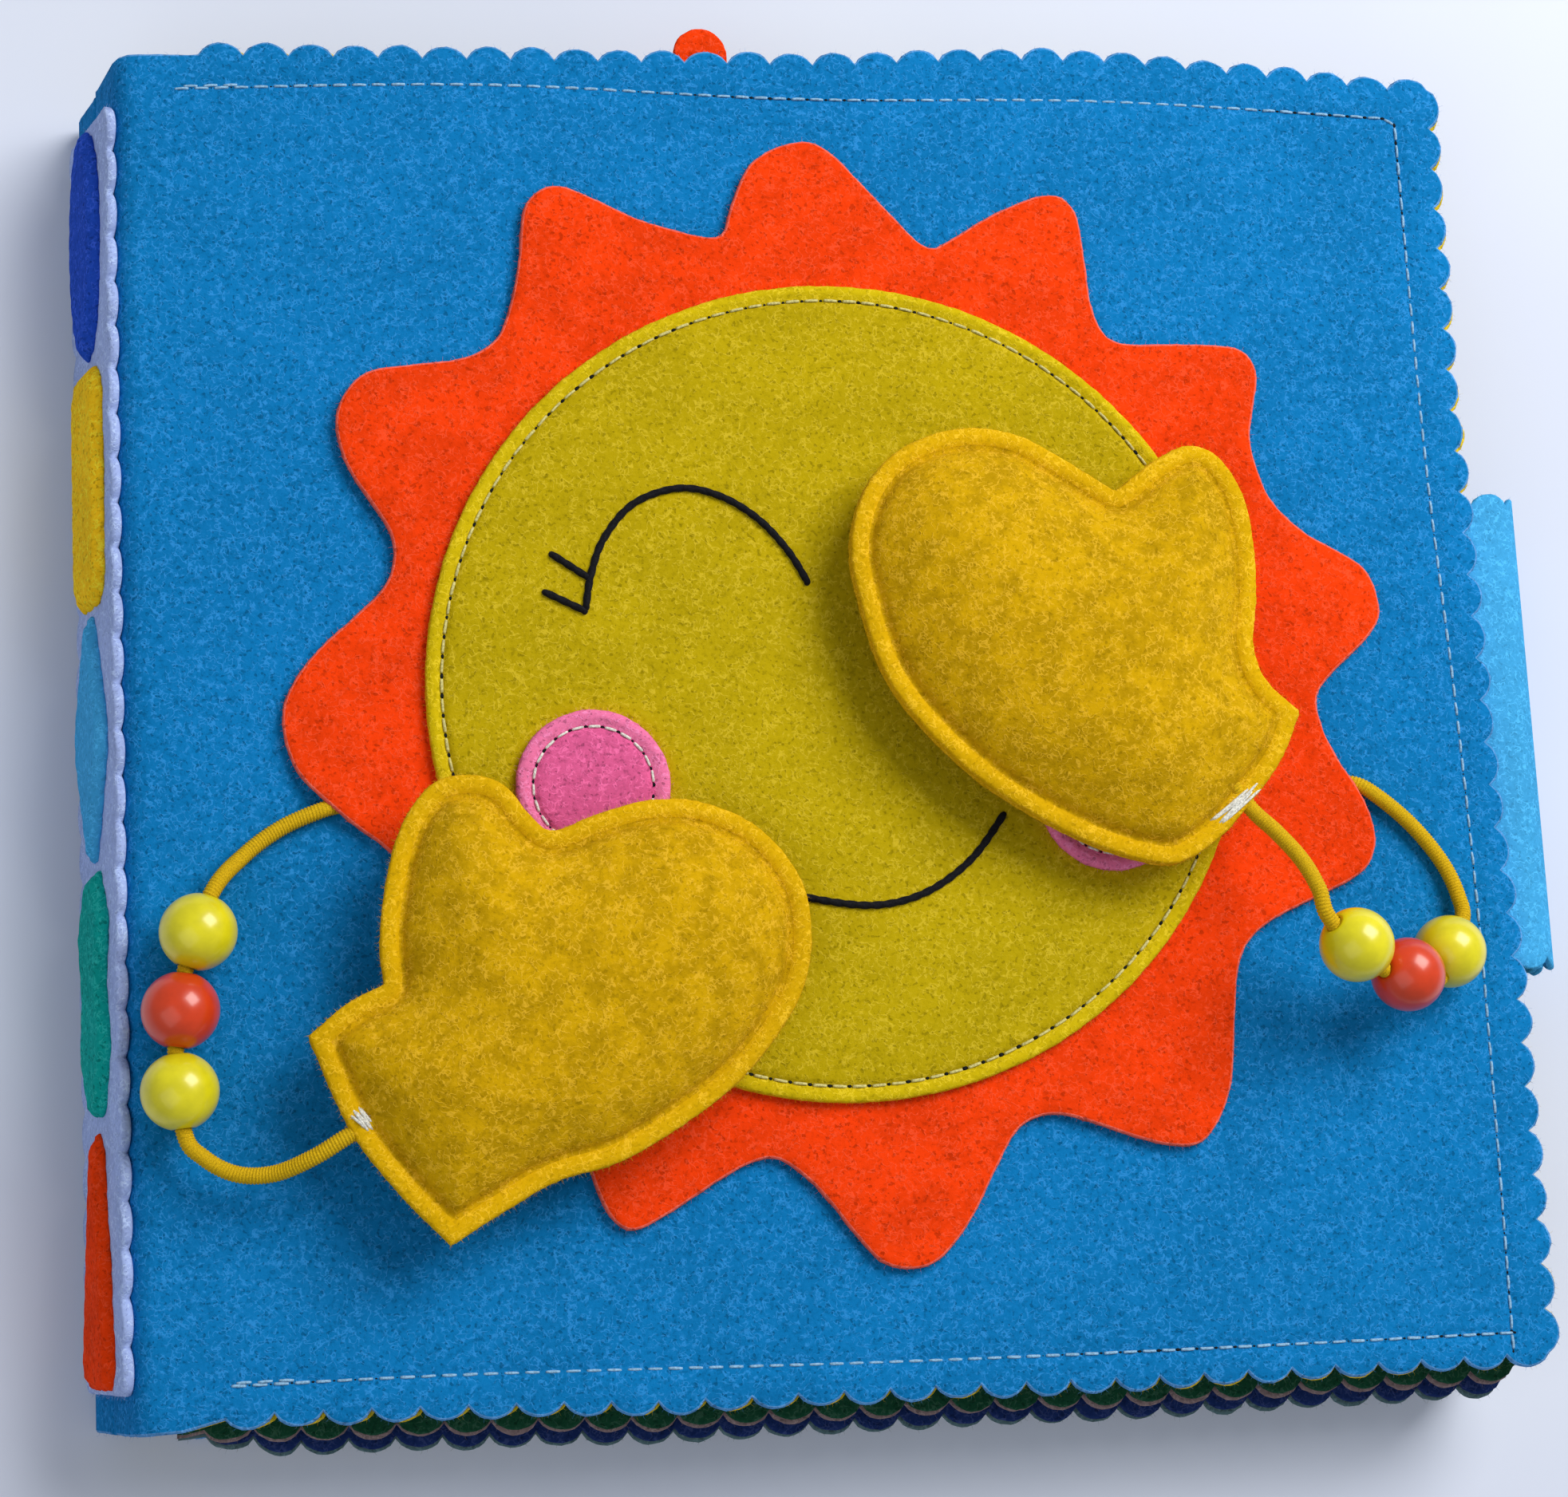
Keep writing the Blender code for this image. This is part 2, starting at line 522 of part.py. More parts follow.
def ring_form(name, outline, ring_shares, top, bottom, body, colour_name, place):
    """A closed form over a star-shaped outline, with its top and underside given by share."""
    shape = bmesh.new()
    skins = []
    for height in (top, bottom):
        rings = []
        for share in ring_shares:
            rings.append([shape.verts.new((x * share, y * share, height(share))) for x, y in outline])
        tip = shape.verts.new((0, 0, height(0)))
        skins.append((rings, tip))
    count = len(outline)
    for (rings, tip), upward in zip(skins, (True, False)):
        for outer, inner in zip(rings, rings[1:]):
            for i in range(count):
                j = (i + 1) % count
                face = (outer[i], outer[j], inner[j], inner[i])
                shape.faces.new(face if upward else face[::-1])
        for i in range(count):
            face = (rings[-1][i], rings[-1][(i + 1) % count], tip)
            shape.faces.new(face if upward else face[::-1])
    top_rim, bottom_rim = skins[0][0][0], skins[1][0][0]
    for i in range(count):
        j = (i + 1) % count
        shape.faces.new((top_rim[j], top_rim[i], bottom_rim[i], bottom_rim[j]))
    bmesh.ops.recalc_face_normals(shape, faces=shape.faces)
    mesh = bpy.data.meshes.new(name)
    shape.to_mesh(mesh)
    shape.free()
    mesh.shade_smooth()
    mesh.set_sharp_from_angle(angle=math.radians(MITTEN_CREASE_DEGREES))
    carry(bpy.data.objects.new(name, mesh), body, colour_name, place)


def make_mitten(name, outline_shares, place_shares):
    """Stuffed mitten: back and front felt sewn along a flat flange, with filling between."""
    outline = [(x * MITTEN_LENGTH, y * MITTEN_LENGTH) for x, y in outline_shares]
    place = (place_shares[0] * COVER_WIDTH, place_shares[1] * COVER_HEIGHT, MITTEN_RIM_Z)

    def front_under(share):
        return GAP / 2 + MITTEN_FRONT_PUFF * crown(share)

    def back_over(share):
        return -GAP / 2 - MITTEN_BACK_PUFF * crown(share)

    ring_form(name + "_front", outline, MITTEN_RING_SHARES, lambda s: front_under(s) + FELT,
              front_under, name, "mitten_felt", place)
    ring_form(name + "_back", outline, MITTEN_RING_SHARES, back_over,
              lambda s: back_over(s) - FELT, name, "mitten_felt", place)
    ring_form(name + "_filling", outline, FILLING_RING_SHARES, lambda s: front_under(s) - GAP,
              lambda s: back_over(s) + GAP, name, "wadding", place)


def make_bead(name, start, end, share, colour_name):
    """A bored bead centred on a straight stretch of cord; its own axis is the cord's."""
    bore = CORD_RADIUS + BEAD_BORE_CLEARANCE
    reach = math.acos(bore / BEAD_RADIUS)
    profile = []
    for i in range(BEAD_PROFILE_POINTS):
        angle = reach - 2 * reach * i / (BEAD_PROFILE_POINTS - 1)
        profile.append((BEAD_RADIUS * math.cos(angle), 0, BEAD_RADIUS * math.sin(angle)))
    mesh = bpy.data.meshes.new(name)
    edges = [(i, (i + 1) % len(profile)) for i in range(len(profile))]
    mesh.from_pydata(profile, edges, [])
    bead = bpy.data.objects.new(name, mesh)
    turned = bead.modifiers.new("turned", "SCREW")
    turned.steps = BEAD_STEPS
    turned.render_steps = BEAD_STEPS
    turned.use_merge_vertices = True
    turned.merge_threshold = BEAD_MERGE
    turned.use_smooth_shade = True
    start, end = Vector(start), Vector(end)
    centre = start.lerp(end, share) + Vector((0, 0, COVER_TOP_Z))
    turn = Vector((0, 0, 1)).rotation_difference(end - start).to_matrix().to_4x4()
    axis_empty(name, centre, "front_cover")
    carry(bead, name, colour_name, centre, turn)


def make_arm(side, place_shares, *routes, bead_shares):
    """Cord arm from under a ray, through its beads, to the mitten's cuff."""
    mitten = Vector((place_shares[0] * COVER_WIDTH, place_shares[1] * COVER_HEIGHT, 0))
    start_route, beaded, end_route = ([mitten + Vector(place) for place in part] for part in routes)
    first = smooth_line([*start_route, beaded[0]], ROUTE_STEPS, False)
    last = smooth_line([beaded[-1], *end_route], ROUTE_STEPS, False)
    route = [*first, *beaded[1:-1], *last]
    tube(f"arm_cord_{side}", route, CORD_RADIUS, "front_cover", "cord", COVER_TOP_Z)
    colours = ("bead_yellow", "bead_orange", "bead_yellow")
    for i, colour_name in enumerate(colours):
        make_bead(f"bead_{side}_{i + 1}", beaded[i], beaded[i + 1], bead_shares[i], colour_name)


def ribbon(name, profile, width, thickness, body, colour_name, place):
    """A band of cloth whose section is a line in XZ, thickened to one side."""
    mesh = bpy.data.meshes.new(name)
    shape = bmesh.new()
    near = [shape.verts.new((x, -width / 2, z)) for x, z in profile]
    far = [shape.verts.new((x, width / 2, z)) for x, z in profile]
    for i in range(len(profile) - 1):
        shape.faces.new((near[i], near[i + 1], far[i + 1], far[i]))
    shape.to_mesh(mesh)
    shape.free()
    band = bpy.data.objects.new(name, mesh)
    thick = band.modifiers.new("thick", "SOLIDIFY")
    thick.thickness = thickness
    thick.offset = -1
    thick.use_even_offset = True
    carry(band, body, colour_name, place)


def make_closure():
    """Closing tab on the front cover, and the lip on the back cover that it presses on to."""
    foot_x = COVER_WIDTH - SEAM_MARGIN + GAP
    low_y, high_y = TAB_MIDDLE - TAB_WIDTH / 2, TAB_MIDDLE + TAB_WIDTH / 2
    root_low = (foot_x, low_y, FRONT_BOARD_Z)
    root_high = (TAB_AXIS_X - TAB_AXIS_RELIEF, high_y, TAB_AXIS_Z)
    box("closure_tab_root", root_low, root_high, "front_cover", "sky_felt")

    outer = TAB_STANDOFF - TAB_AXIS_OFFSET
    inner = TAB_FELT + GAP
    drop = TAB_AXIS_Z - TAB_HEM_HEIGHT
    profile = [(TAB_AXIS_RELIEF, 0)]
    lining = []
    for i in range(1, TAB_BEND_STEPS + 1):
        angle = math.pi / 2 * i / TAB_BEND_STEPS
        x = TAB_AXIS_RELIEF + (outer - TAB_AXIS_RELIEF) * math.sin(angle)
        z = -outer * (1 - math.cos(angle))
        profile.append((x, z))
        lining.append((x - inner * math.sin(angle), z - inner * math.cos(angle)))
    profile.append((outer, -drop))
    lining.append((outer - inner, -drop))
    place = (TAB_AXIS_X, TAB_MIDDLE, TAB_AXIS_Z)
    ribbon("closure_tab_outer", profile, TAB_WIDTH, TAB_FELT, "closure_tab", "sky_felt", place)
    ribbon("closure_tab_lining", lining, TAB_WIDTH, TAB_FELT, "closure_tab", "sky_felt", place)

    hook_high_x = TAB_AXIS_X + outer - inner - TAB_FELT - GAP
    hook_low_x = hook_high_x - HOOK_THICKNESS
    loop_high_x = hook_low_x - HOOK_CLEARANCE
    loop_low_x = loop_high_x - HOOK_THICKNESS
    low_y, high_y = TAB_MIDDLE - HOOK_WIDTH / 2, TAB_MIDDLE + HOOK_WIDTH / 2
    patch_low, patch_high = TAB_HEM_HEIGHT + HOOK_MARGIN, LIP_TOP - HOOK_MARGIN
    box("closure_hook_patch", (hook_low_x, low_y, patch_low), (hook_high_x, high_y, patch_high),
        "closure_tab", "fastener")
    box("closure_loop_patch", (loop_low_x, low_y, patch_low), (loop_high_x, high_y, patch_high),
        "back_cover", "fastener")

    lip_x = loop_low_x - GAP - TAB_FELT
    foot_z = BACK_BOARD_Z + TAB_FELT
    section = [(foot_x, foot_z), (lip_x, foot_z), (lip_x, LIP_TOP)]
    ribbon("closure_lip", section, TAB_WIDTH, TAB_FELT, "back_cover", "sky_felt", (0, TAB_MIDDLE, 0))


def make_bodies():
    """The empties on the joints' axes, from the back cover outwards."""
    axis_empty("back_cover", (0, 0, 0), "book")
    axis_empty("spine", BACK_FOLD, "back_cover")
    axis_empty("front_cover", FRONT_FOLD, "spine")
    for number in range(1, LEAF_COUNT + 1):
        pivot_x = BINDING_REACH + LEAF_PIVOT_RELIEF
        axis_empty(f"leaf_{number}", (pivot_x, 0, leaf_base_z(number) + LEAF_THICKNESS / 2), "spine")
    axis_empty("closure_tab", (TAB_AXIS_X, TAB_MIDDLE, TAB_AXIS_Z), "front_cover")
    cuffs = (("left_mitten", LEFT_MITTEN_PLACE_SHARES, LEFT_CUFF_SHARES),
             ("right_mitten", RIGHT_MITTEN_PLACE_SHARES, RIGHT_CUFF_SHARES))
    for name, place_shares, cuff_shares in cuffs:
        x = place_shares[0] * COVER_WIDTH + cuff_shares[0][0] * MITTEN_LENGTH
        y = place_shares[1] * COVER_HEIGHT + cuff_shares[0][1] * MITTEN_LENGTH
        axis_empty(name, (x, y, MITTEN_RIM_Z + GAP / 2 + FELT), "front_cover")


def stand_on_origin():
    """Moves the whole book so that the middle of its footprint is at the origin."""
    bpy.context.view_layer.update()
    graph = bpy.context.evaluated_depsgraph_get()
    corners = []
    for piece in book.objects:
        if piece.type == "EMPTY":
            continue
        shown = piece.evaluated_get(graph)
        mesh = shown.to_mesh()
        corners += [shown.matrix_world @ vertex.co for vertex in mesh.vertices]
        shown.to_mesh_clear()
    low = [min(corner[i] for corner in corners) for i in range(3)]
    high = [max(corner[i] for corner in corners) for i in range(3)]
    frame = bpy.data.objects["book_axis"]
    frame.location = (-(low[0] + high[0]) / 2, -(low[1] + high[1]) / 2, -low[2])


clear_scene()
book = bpy.data.collections.new("quiet_book")
bpy.context.scene.collection.children.link(book)
axis_empty("book", (0, 0, 0), None)
make_bodies()
make_covers()
make_spine()
make_leaves()
make_page_tab()
make_sun()
make_mitten("left_mitten", LEFT_MITTEN_SHARES, LEFT_MITTEN_PLACE_SHARES)
make_mitten("right_mitten", RIGHT_MITTEN_SHARES, RIGHT_MITTEN_PLACE_SHARES)
make_arm("left", LEFT_MITTEN_PLACE_SHARES, LEFT_ARM_START, LEFT_ARM_BEADED, LEFT_ARM_END,
         bead_shares=LEFT_BEAD_SHARES)
make_arm("right", RIGHT_MITTEN_PLACE_SHARES, RIGHT_ARM_START, RIGHT_ARM_BEADED, RIGHT_ARM_END,
         bead_shares=RIGHT_BEAD_SHARES)
make_closure()
stand_on_origin()
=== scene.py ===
"""Looks of the closed felt quiet book: felts, stitching, stuffed mittens, beads and cord arms.

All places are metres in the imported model's frame: +X from the spine to the fore-edge, +Y to the
top of the cover, +Z out of the front cover. The book() function counts from the cover's bottom
spine corner and from the cover's face.
"""
import json
import math
import random

import bmesh
import bpy
import numpy as np
from mathutils import Matrix, Vector, noise
from mathutils.bvhtree import BVHTree
from mathutils.geometry import delaunay_2d_cdt


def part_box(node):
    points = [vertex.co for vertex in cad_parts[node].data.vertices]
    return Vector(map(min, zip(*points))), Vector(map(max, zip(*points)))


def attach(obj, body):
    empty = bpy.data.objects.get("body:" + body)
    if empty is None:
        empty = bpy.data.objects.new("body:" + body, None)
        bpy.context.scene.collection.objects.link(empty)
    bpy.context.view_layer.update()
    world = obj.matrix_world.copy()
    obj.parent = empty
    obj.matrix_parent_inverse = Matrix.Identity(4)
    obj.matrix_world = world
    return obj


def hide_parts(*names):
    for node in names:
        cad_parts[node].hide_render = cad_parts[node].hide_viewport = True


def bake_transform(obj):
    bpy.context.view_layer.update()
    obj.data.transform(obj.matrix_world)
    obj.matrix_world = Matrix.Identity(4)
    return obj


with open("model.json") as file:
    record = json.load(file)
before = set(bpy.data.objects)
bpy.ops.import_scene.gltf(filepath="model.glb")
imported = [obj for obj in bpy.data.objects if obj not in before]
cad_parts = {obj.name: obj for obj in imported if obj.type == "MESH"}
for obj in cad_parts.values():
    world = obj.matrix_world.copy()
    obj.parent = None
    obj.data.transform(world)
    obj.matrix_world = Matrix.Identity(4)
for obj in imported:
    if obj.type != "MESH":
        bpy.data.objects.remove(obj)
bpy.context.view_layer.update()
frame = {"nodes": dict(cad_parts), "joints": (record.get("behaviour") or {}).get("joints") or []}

# Driving sizes of the book
FELT = 0.0015
SCALLOP_PITCH = 0.0071
SCALLOP_DEPTH = 0.0021
FOLD_RELIEF = 0.0015
SPINE_LEAN = 0.008
PLAIN_EDGE = 0.012
SEAM_MARGIN = 0.0075
COVER_LOW, COVER_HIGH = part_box("front_cover_felt")
EDGE_INSET = SCALLOP_DEPTH / 2
LEFT = COVER_LOW.x - FOLD_RELIEF
BOTTOM = COVER_LOW.y + EDGE_INSET
COVER_Z = COVER_HIGH.z
WIDTH = COVER_HIGH.x - EDGE_INSET - LEFT
HEIGHT = COVER_HIGH.y - EDGE_INSET - BOTTOM

# How far the cut edges wander: (place along the edge, how far up or out)
TOP_WANDER = (
    (-0.020, 0), (0, 0.0020), (0.018, 0.0023), (0.115, 0.0024), (0.131, 0.0033),
    (0.150, 0.0039), (0.163, 0.0037), (0.180, 0.0024), (0.196, 0.0012), (0.212, -0.0002),
)
BOTTOM_WANDER = (
    (-0.004, 0), (0.006, 0.0004), (0.013, 0.0021), (0.018, 0.0024), (0.033, 0.0022),
    (0.048, 0.0018), (0.062, 0.0014), (0.077, 0.0007), (0.121, 0.0005), (0.150, 0),
)
SIDE_WANDER = (
    (0, 0.0004), (0.055, 0.0005), (0.072, 0), (0.085, -0.0008), (0.100, -0.0012),
    (0.150, -0.0020), (0.160, -0.0024), (0.178, -0.0021), (0.193, -0.0019),
    (0.208, -0.0015), (0.216, -0.0013),
)

# Felt edges
EDGE_ROUND = 0.00042
EDGE_SOFT = 0.00012
EDGE_FRAY = 0.00016
LOBE_STEPS = 9
LOBE_POWER = 0.62
GRID_MARGIN = 0.0006  # how far a felt's inner points keep from its rounded edge
HALF_GAP = 0.00005  # from the middle of a two-felt piece to each felt
UNDERLAP = 0.0002  # how far a felt sinks into what it lies on
LINT_RADIUS = 0.000024
LINT_LENGTH = (0.0004, 0.0010)

# Camera: place, the directions of its right, up and back, and its focal length as a share of
# the frame's width
CAMERA_PLACE = (-0.09042, -0.08421, 0.48546)
CAMERA_RIGHT = (0.98467, -0.05004, 0.16712)
CAMERA_UP = (0.02201, 0.98596, 0.16550)
CAMERA_BACK = (-0.17305, -0.15928, 0.97195)
FOCAL_SHARE = 3750 / 1965
SENSOR_MM = 36

# Sun
FACE_RADIUS = 0.0655
FACE_PLACE = (0.110, 0.11075)
CHEEK_RADIUS = 0.0120
FACE_RING = 0.0025
CHEEK_RING = 0.0026
CHEEK_PLACE_SHARES = ((-0.615, -0.235), (0.645, -0.288))
EYE_SHARES = (
    (-0.615, 0.195), (-0.600, 0.275), (-0.565, 0.365), (-0.490, 0.450), (-0.380, 0.487),
    (-0.280, 0.467), (-0.190, 0.410), (-0.120, 0.330), (-0.075, 0.250),
)
LASH_SHARES = (((-0.604, 0.268), (-0.695, 0.330)), ((-0.616, 0.188), (-0.712, 0.236)))
SMILE_SHARES = (
    (-0.300, -0.420), (-0.200, -0.485), (-0.070, -0.522), (0.060, -0.535),
    (0.180, -0.505), (0.290, -0.430), (0.375, -0.325),
)
THREAD_RADIUS = 0.00062
THREAD_TWIST = 0.0042
THREAD_STEP = 0.00025
THREAD_RISE = 0.00045
THREAD_DIVE = 0.0006
RAY_LIFT = 0.0013
RAY_LIFT_REACH = 0.0050

# Mittens; outlines are shares of the mitten length from a middle point
MITTEN_LENGTH = 0.080
MITTEN_RIM = 0.0016
MITTEN_GROOVE_INSET = 0.0033
MITTEN_GROOVE_DEPTH = 0.00045
LEFT_MITTEN_SHARES = (
    (-0.510, -0.088), (-0.440, -0.031), (-0.368, 0.003), (-0.374, 0.080), (-0.362, 0.180),
    (-0.330, 0.294), (-0.270, 0.375), (-0.194, 0.392), (-0.132, 0.370), (-0.091, 0.318),
    (-0.046, 0.282), (0.030, 0.308), (0.138, 0.335), (0.245, 0.328), (0.350, 0.275),
    (0.422, 0.181), (0.440, 0.074), (0.411, -0.048), (0.312, -0.179), (0.202, -0.264),
    (0.062, -0.340), (-0.058, -0.371), (-0.155, -0.420), (-0.260, -0.480), (-0.350, -0.382),
    (-0.435, -0.266),
)
RIGHT_MITTEN_SHARES = (
    (0.240, 0.398), (0.170, 0.368), (0.084, 0.305), (-0.025, 0.376), (-0.120, 0.425),
    (-0.232, 0.434), (-0.346, 0.394), (-0.422, 0.314), (-0.456, 0.202), (-0.444, 0.091),
    (-0.404, -0.051), (-0.331, -0.161), (-0.228, -0.265), (-0.121, -0.339), (-0.014, -0.396),
    (0.080, -0.430), (0.160, -0.440), (0.244, -0.395), (0.312, -0.330), (0.386, -0.240),
    (0.432, -0.146), (0.366, -0.080), (0.346, -0.010), (0.359, 0.085), (0.362, 0.195),
    (0.346, 0.300), (0.300, 0.376),
)
LEFT_MITTEN_PLACE = (0.0660, 0.0650)
RIGHT_MITTEN_PLACE = (0.1470, 0.1150)
MITTEN_HALVES = (  # half, way it faces, seed of its lumps, fullness and steepness of its crown
    ("front", 1, 3.1, 2.5, 0.92), ("back", -1, 8.4, 2.2, 0.80),
)
MITTEN_BANDS = (
    0.0010, 0.0018, 0.0024, 0.0028, 0.0031, 0.0034, 0.0038, 0.0043, 0.0050, 0.0060, 0.0074,
)
CUFF_CORNER_ANGLE = math.radians(58)
BARTACK_THREADS = 5
BARTACK_WIDTH = 0.0014
BARTACKS = {
    "left": ((0.0318, 0.0470), (0.0340, 0.0441)), "right": ((0.1665, 0.0860), (0.1732, 0.0915)),
}

# Cord arms; routes are from the mitten's middle and from the cover's face
CORD_DIAMETER = 0.0026
CORD_RIB_PITCH = 0.00050
CORD_STEP = 0.00010
CORD_SIDES = 12
CORD_WAVE = (0.95, 0.06)  # mean and swing of its radius, as shares of half the diameter
CORD_TUCK = 0.0035
CORD_TUCK_HEIGHT = 0.0003
CORD_REACH_IN = 0.0060
CUFF_REACH = 0.0060
LEFT_ARM = (
    (-0.0376, 0.0282, 0.0016), (-0.0438, 0.0256, 0.0016), (-0.0495, 0.0214, 0.0025),
    (-0.0544, 0.0153, 0.0062), (-0.0584, 0.0040, 0.0062), (-0.0600, -0.0079, 0.0062),
    (-0.0590, -0.0199, 0.0062), (-0.0562, -0.0238, 0.0064), (-0.0515, -0.0264, 0.0070),
    (-0.0460, -0.0266, 0.0084), (-0.0404, -0.0246, 0.0108), (-0.0356, -0.0219, 0.0118),
)
RIGHT_ARM = (
    (0.0487, -0.0226, 0.0016), (0.0552, -0.0280, 0.0016), (0.0603, -0.0345, 0.0016),
    (0.0626, -0.0405, 0.0022), (0.0622, -0.0454, 0.0036), (0.0549, -0.0548, 0.0091),
    (0.0437, -0.0529, 0.0152), (0.0345, -0.0457, 0.0194), (0.0327, -0.0406, 0.0198),
    (0.0310, -0.0358, 0.0178), (0.0284, -0.0310, 0.0146), (0.0258, -0.0273, 0.0121),
)
BEAD_RADIUS = 0.0058
BEAD_BORE_CLEARANCE = 0.00005
BEAD_LIP = 0.02
BEAD_RINGS = 30
BEAD_SIDES = 48

# Covers
SPINE_LINING_GAP = 0.0018
COVER_BEND = 0.0034
LINING_BEND = 0.0012
LINING_LIFT = 0.0013
COVER_BLEND = 0.005
FELT_JOIN = 0.00002
SEAM_GROOVE = 0.0014
SEAM_SINK = 0.00035
SEAM_SPOT_STEP = 0.0012
COVER_GRID = 0.006
FOLD_ROWS = [0.006 - 0.0008 * i for i in range(17)]  # close rows of points over the fold

# Stitching
STITCH_PITCH = 0.0031
STITCH_RADIUS = 0.00023
STITCH_SHARES = (0.17, 0.26, 0.5, 0.74, 0.83)
HOLE_RADIUS = 0.00042
HOLE_SIDES = 8
HOLE_TIP = 0.00006
HOLE_RIM = 0.0001
HOLE_DEPTH = 0.0004
DISC_SEAM_SINK = 0.0004
CHEEK_STITCH_PITCH = 0.0026
SEAM_START_SHIFT = Vector((0.0014, 0.00045))
COVER_SEAM = (
    (0.0078, 0.2093), (0.0563, 0.2108), (0.1084, 0.2092), (0.1600, 0.2096), (0.2112, 0.2073),
    (0.2115, 0.1499), (0.2132, 0.1039), (0.2139, 0.0618), (0.2134, 0.0012),
)
BOTTOM_SEAM = (
    (0.2140, 0.0046), (0.1612, 0.0050), (0.1103, 0.0058), (0.0494, 0.0075), (0.0119, 0.0078),
)

# Leaves
LEAF_TAPER = 0.75
LEAF_TAPER_REACH = 0.018
LEAF_PLAIN_EDGE = 0.004
LEAF_TRIM = 0.003
LEAF_BACK_OVERHANG = 0.0006
LEAF_ROOT = 0.0012
LEAF_BLEND = 0.0035
LEAF_SEAM_RISE = 0.0001
LEAF_LOOKS = (  # front and back felt of each leaf
    ("green_felt", "mauve_felt"), ("navy_felt", "grey_teal_felt"), ("mint_felt", "pale_felt"),
)

# Spine; a shape's corners are (up the spine, along it) in shares of half its width and length
STRIP = 0.0014
STRIP_LIFT = 0.0002
STRIP_EDGE = 0.0012
SHAPE_WIDTH = 0.0150
SHAPE_LENGTH = 0.0385
SHAPE_HEIGHT = 0.0015
SHAPE_STEP = 0.0006
PINCH_PITCH = 0.0040
PINCH_DEPTH = 0.00035
SPINE_SHAPES = (
    ("spine_oval", "royal_felt",
     [(math.sin(a), math.cos(a)) for a in (2 * math.pi * i / 16 for i in range(16))]),
    ("spine_block", "golden_felt",
     [(-1, -0.78), (-0.6, -1), (0.6, -1), (1, -0.78), (1, 0.78), (0.6, 1), (-0.6, 1), (-1, 0.78)]),
    ("spine_diamond", "sky_felt",
     [(-1, -0.15), (-0.15, -1), (0.15, -1), (1, -0.15), (1, 0.15), (0.15, 1), (-0.15, 1),
      (-1, 0.15)]),
    ("spine_pebble", "teal_felt",
     [(-0.9, -0.5), (-0.3, -0.95), (0.5, -0.95), (1, -0.4), (0.7, 0.1), (0.9, 0.6), (0.4, 1),
      (-0.4, 0.95), (-1, 0.5), (-0.75, 0)]),
    ("spine_wedge", "orange_felt",
     [(-1, -0.8), (-0.75, -1), (0.75, -1), (1, -0.8), (0.35, 0.85), (0, 1), (-0.35, 0.85)]),
)

# Closing tab
TAB_FELT = 0.0012
TAB_GAP = 0.0003
LIP_BEND = 0.0012
TAB_BLEND = (Vector((-0.001, 0, 0)), Vector((0.003, 0, -0.0015)))  # from its joint
TAB_SIDE_STEPS = 80


def book(x, y, h=0.0):
    return Vector((LEFT + x, BOTTOM + y, COVER_Z + h))


def joint_of(child):
    return next(joint for joint in frame["joints"] if joint["child"] == child)


# ---- Camera ----
def make_camera():
    data = bpy.data.cameras.new("camera")
    data.sensor_width = SENSOR_MM
    data.lens = SENSOR_MM * FOCAL_SHARE
    data.clip_start = 0.01
    camera = bpy.data.objects.new("camera", data)
    turn = Matrix((CAMERA_RIGHT, CAMERA_UP, CAMERA_BACK)).transposed()
    camera.matrix_world = Matrix.Translation(CAMERA_PLACE) @ turn.to_4x4()
    bpy.context.scene.collection.objects.link(camera)
    bpy.context.scene.camera = camera


make_camera()


# ---- Materials ----
LOOKS = {}


